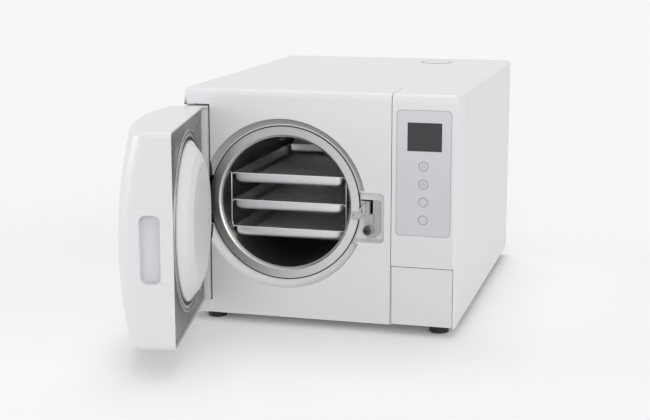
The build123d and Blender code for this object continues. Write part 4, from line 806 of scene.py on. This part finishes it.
def front_seam_shade_strip():
    """The black strip between the two front mouldings, rounded at the top as they are: painted shade for the
    seam.
    """
    left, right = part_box("front_panel")[1][0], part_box("control_module")[0][0]
    foot, top = 0.0175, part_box("top_cover")[1][2] - 0.0012
    bite, sunk, back, rounding = 0.0001, 0.0006, 0.087, 0.013
    strip = block((left - bite, CABINET_Y + sunk, foot), (right + bite, CABINET_Y + back, top))

    half_way_up, near_front = (foot + top) / 2, CABINET_Y + 0.01

    def on_upper_front(point, way):
        return abs(way.x) > 0.9 and point.y < near_front and point.z > half_way_up

    grab(strip, on_upper_front)
    bpy.ops.mesh.bevel(offset=rounding, segments=8, affect="EDGES")
    settle(strip, "front_seam_shade_strip", finish("gasket_black"), "cabinet")


def flap_shade_strips():
    """The black strips above the service flap and to its right: painted shade for the gaps round it."""
    low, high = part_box("service_door")
    face, back = CABINET_Y - 0.0001, CABINET_Y + 0.002
    clear, wide, tall, overlap, rounding = 0.0001, 0.0006, 0.0009, 0.0003, 0.00008
    strips = [
        block((low[0] - 0.0004, face, high[2] + clear), (high[0] + wide, back, high[2] + tall)),
        block((high[0] + clear, face, low[2]), (high[0] + wide, back, high[2] + overlap)),
    ]
    for strip in strips:
        grab(strip, lambda point, way: point.y < CABINET_Y)
        bpy.ops.mesh.bevel(offset=rounding, segments=1, affect="EDGES")
    settle(joined(strips), "flap_shade_strips", finish("gasket_black"), "cabinet")


def recess_shade_strips():
    """The black strips round the recess, in the front's millimetres, open at the hinge arm's notch: painted
    shade.
    """
    # On the recess's upper, right and lower walls, from just behind the face to its back
    left, right, foot, top = 2, 49.6, 40.8, 407.9
    lip, back, thick = 0.2, 18, 1.1
    # On the face along the same edges, and a hair proud of it: painted shade lines on the face
    face_right, face_foot, face_top = 50.4, 40.2, 408.7
    proud, under, line = -0.06, 0.3, 0.8
    half = NOTCH_HALF + 0.2
    strips = []
    for start, end in (
        ((left, lip, top - 1.2), (right, back, top)),
        ((right - thick, lip, 41.0), (right, back, top)),
        ((left, lip, foot), (right, back, foot + thick)),
        ((20, proud, face_top - 0.9), (face_right, under, face_top)),
        ((right, proud, face_foot), (face_right, under, face_top)),
        ((30, proud, face_foot), (face_right, under, face_foot + line)),
    ):
        strip = block(place(*start), place(*end))
        cut(strip, front_tool(PAST_LEFT, NOTCH_RIGHT, RING_Z_MM - half, RING_Z_MM + half))
        strips.append(strip)
    settle(joined(strips), "recess_shade_strips", finish("gasket_black"), "cabinet")


def filler_shade_ring():
    """A black ring round the filler in the cabinet's top: painted shade for the gap round its neck."""
    low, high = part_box("filler_neck")
    x, y, _ = middle_of("filler_neck")
    top, clear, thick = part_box("top_cover")[1][2], 0.0003, 0.0005
    seal = hoop((x, y, top), (high[0] - low[0]) / 2 + clear, thick, 96, turned=UPRIGHT)
    settle(seal, "filler_shade_ring", finish("gasket_black"), "cabinet")


class AUTOCLAVE_OT_seam_strips(bpy.types.Operator):
    """Adds black strips of painted shade in the front's seams, round the flap, the recess and the filler"""

    bl_idname = "autoclave.seam_strips"
    bl_label = "Seam strips"

    def execute(self, context):
        front_seam_shade_strip()
        flap_shade_strips()
        recess_shade_strips()
        filler_shade_ring()
        return {"FINISHED"}


class AUTOCLAVE_OT_plate_rings(bpy.types.Operator):
    """Adds the turned rings on the pressure plate of the open door; the black one is painted shade"""

    bl_idname = "autoclave.plate_rings"
    bl_label = "Plate rings"

    def execute(self, context):
        turn = math.radians(-DOOR_OPEN)
        x, y = RING_X_MM - HINGE_PIN[0], PLATE_FACE - HINGE_PIN[1]
        middle = place(HINGE_PIN[0] + x * math.cos(turn) - y * math.sin(turn),
                       HINGE_PIN[1] + x * math.sin(turn) + y * math.cos(turn), RING_Z_MM)
        # Each ring's radius, half of its thickness, and its finish
        for number, (radius, thick, kind) in enumerate((
            (0.1562, 0.0008, "steel_bright"),
            # The black ring is painted shade: a dark line between the two bright ones
            (0.1532, 0.0006, "gasket_black"),
            (0.1474, 0.0007, "steel_bright"),
        ), 1):
            ring = hoop(middle, radius, thick, turned=(math.pi / 2, 0, turn))
            settle(ring, f"plate_ring_{number}", finish(kind), "door")
        return {"FINISHED"}


def film_edge_shade_line():
    """The fine grey line round the key panel film, with the film's rounded corners: painted shade on its
    edge.
    """
    low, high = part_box("control_keypad")
    front = min(low[1], CABINET_Y)
    corner = 0.0082
    # The line is what stays of the outer block when the inner one, narrower and deeper, is cut away
    outer, inner = (block((low[0] - wide, front - deep, low[2] - wide),
                          (high[0] + wide, high[1] + deep, high[2] + wide))
                    for wide, deep in ((0.0005, 0.0001), (-0.0006, 0.001)))
    for part in (outer, inner):
        grab(part, lambda point, way: abs(way.y) > 0.9)
        bpy.ops.mesh.bevel(offset=corner, segments=10, affect="EDGES")
    cut(outer, inner)
    settle(outer, "film_edge_shade_line", finish("film_edge_shade_line"), "cabinet")


class AUTOCLAVE_OT_key_marks(bpy.types.Operator):
    """Adds the printed rings and marks of the keys and the fine line round the film"""

    bl_idname = "autoclave.key_marks"
    bl_label = "Key marks"

    def execute(self, context):
        film_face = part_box("control_keypad")[0][1]
        ring_radius, ring_line = 0.00815, sizes().key_ring / 2
        mark_radius, mark_line = 0.0026, 0.0003
        marked_keys = (1, 2)
        for number in (1, 2, 3, 4):
            key = f"button_{number}"
            x, z = middle_of(key)[::2]
            ring = hoop((x, film_face, z), ring_radius, ring_line, 48)
            settle(ring, f"key_ring_{number}", finish("print_grey"), "cabinet")
            if number in marked_keys:
                mark = hoop((x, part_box(key)[0][1], z), mark_radius, mark_line, 32)
                settle(mark, f"key_mark_{number}", finish("print_grey"), key)
        film_edge_shade_line()
        return {"FINISHED"}


def seen_directly(tree):
    """One for camera rays and for those that metal or glass sends on, so all meet the pale backdrop."""
    path = add_node(tree, "ShaderNodeLightPath")
    either = add_node(tree, "ShaderNodeMath", {"operation": "MAXIMUM"},
                      {0: path.outputs["Is Camera Ray"], 1: path.outputs["Is Glossy Ray"]})
    every = add_node(tree, "ShaderNodeMath", {"operation": "MAXIMUM"},
                     {0: either.outputs[0], 1: path.outputs["Is Transmission Ray"]})
    return every.outputs[0]


def pale_floor():
    """The floor: paper that glows a little where it is seen, and plain paper for all other light."""
    deselect()
    bpy.ops.mesh.primitive_plane_add(size=sizes().floor_size, location=(0, 0, 0))
    floor = bpy.context.object
    floor.name = "floor"
    made, tree, output = new_material("pale studio floor")
    paper = add_node(tree, "ShaderNodeBsdfDiffuse", {"Color": linear("#FBFBFB")})
    glow = add_node(tree, "ShaderNodeEmission", {"Color": linear(BACKDROP), "Strength": 0.062})
    seen = add_node(tree, "ShaderNodeAddShader", None, {0: paper.outputs[0], 1: glow.outputs[0]})
    plain = add_node(tree, "ShaderNodeBsdfDiffuse", {"Color": linear("#E4E4E4")})
    either = add_node(tree, "ShaderNodeMixShader", None,
                      {0: seen_directly(tree), 1: plain.outputs[0], 2: seen.outputs[0]})
    tree.links.new(either.outputs[0], output.inputs["Surface"])
    dress(floor, made)


def pale_world(scene):
    """The world: the backdrop's colour where it is seen, and a softer white light for the rest."""
    world = bpy.data.worlds.new("pale studio")
    scene.world = world
    world.use_nodes = True
    tree = world.node_tree
    tree.nodes.clear()
    soft = add_node(tree, "ShaderNodeBackground", {"Color": linear("#FFFFFF"), "Strength": 0.55})
    sky = add_node(tree, "ShaderNodeBackground", {"Color": linear(BACKDROP), "Strength": 1.0})
    either = add_node(tree, "ShaderNodeMixShader", None,
                      {0: seen_directly(tree), 1: soft.outputs[0], 2: sky.outputs[0]})
    add_node(tree, "ShaderNodeOutputWorld", None, {"Surface": either.outputs[0]})


def hang_lamps(scene):
    """The broad suns that stand in for a studio's soft boxes."""
    for name, towards, spread, strength in LAMPS:
        lamp = bpy.data.lights.new(name, "SUN")
        lamp.angle = math.radians(spread)
        lamp.energy = strength
        holder = bpy.data.objects.new(name, lamp)
        scene.collection.objects.link(holder)
        holder.rotation_euler = Vector(towards).to_track_quat("Z", "Y").to_euler()


def set_camera(scene):
    """The camera, at the photograph's viewing angle."""
    lens = bpy.data.cameras.new("camera")
    lens.sensor_width = SENSOR_WIDTH_MM
    lens.lens = FOCAL_PIXELS / PICTURE_WIDTH_PIXELS * SENSOR_WIDTH_MM
    lens.clip_end = 200.0
    viewer = bpy.data.objects.new("camera", lens)
    scene.collection.objects.link(viewer)
    viewer.location = place(*CAMERA_PLACE)
    level = math.cos(CAMERA_TILT)
    ahead = Vector((-math.sin(CAMERA_TURN) * level, math.cos(CAMERA_TURN) * level, math.sin(CAMERA_TILT)))
    viewer.rotation_euler = ahead.to_track_quat("-Z", "Y").to_euler()
    scene.camera = viewer


class AUTOCLAVE_OT_stage(bpy.types.Operator):
    """Sets the floor, the world, the lamps and the camera"""

    bl_idname = "autoclave.stage"
    bl_label = "Stage"

    def execute(self, context):
        pale_floor()
        pale_world(context.scene)
        hang_lamps(context.scene)
        set_camera(context.scene)
        context.scene.view_settings.view_transform = "Standard"
        return {"FINISHED"}


OPERATORS = (
    AUTOCLAVE_OT_frame_finishes,
    AUTOCLAVE_OT_front_moulding,
    AUTOCLAVE_OT_chamber_ring,
    AUTOCLAVE_OT_trays,
    AUTOCLAVE_OT_wire_rack,
    AUTOCLAVE_OT_latch_socket,
    AUTOCLAVE_OT_seam_strips,
    AUTOCLAVE_OT_plate_rings,
    AUTOCLAVE_OT_key_marks,
    AUTOCLAVE_OT_stage,
)


class AUTOCLAVE_PT_sidebar(bpy.types.Panel):
    """Lists the colours, the sizes and the operators of the autoclave"""

    bl_idname = "AUTOCLAVE_PT_sidebar"
    bl_label = "Autoclave"
    bl_space_type = "VIEW_3D"
    bl_region_type = "UI"
    bl_category = "Autoclave"

    def draw(self, context):
        for group in (context.scene.autoclave_colours, context.scene.autoclave_sizes):
            for name in group.__annotations__:
                self.layout.prop(group, name)
        for operator in OPERATORS:
            self.layout.operator(operator.bl_idname)


CLASSES = (AutoclaveColours, AutoclaveSizes) + OPERATORS + (AUTOCLAVE_PT_sidebar,)


def register():
    """Registers the classes and gives the scene the user's values."""
    for kind in CLASSES:
        bpy.utils.register_class(kind)
    bpy.types.Scene.autoclave_colours = bpy.props.PointerProperty(type=AutoclaveColours)
    bpy.types.Scene.autoclave_sizes = bpy.props.PointerProperty(type=AutoclaveSizes)


def unregister():
    """Takes back what register did."""
    del bpy.types.Scene.autoclave_sizes
    del bpy.types.Scene.autoclave_colours
    for kind in reversed(CLASSES):
        bpy.utils.unregister_class(kind)


def main():
    """Builds all pieces in order."""
    register()
    for operator in OPERATORS:
        group, name = operator.bl_idname.split(".")
        getattr(getattr(bpy.ops, group), name)()


if __name__ == "__main__":
    main()
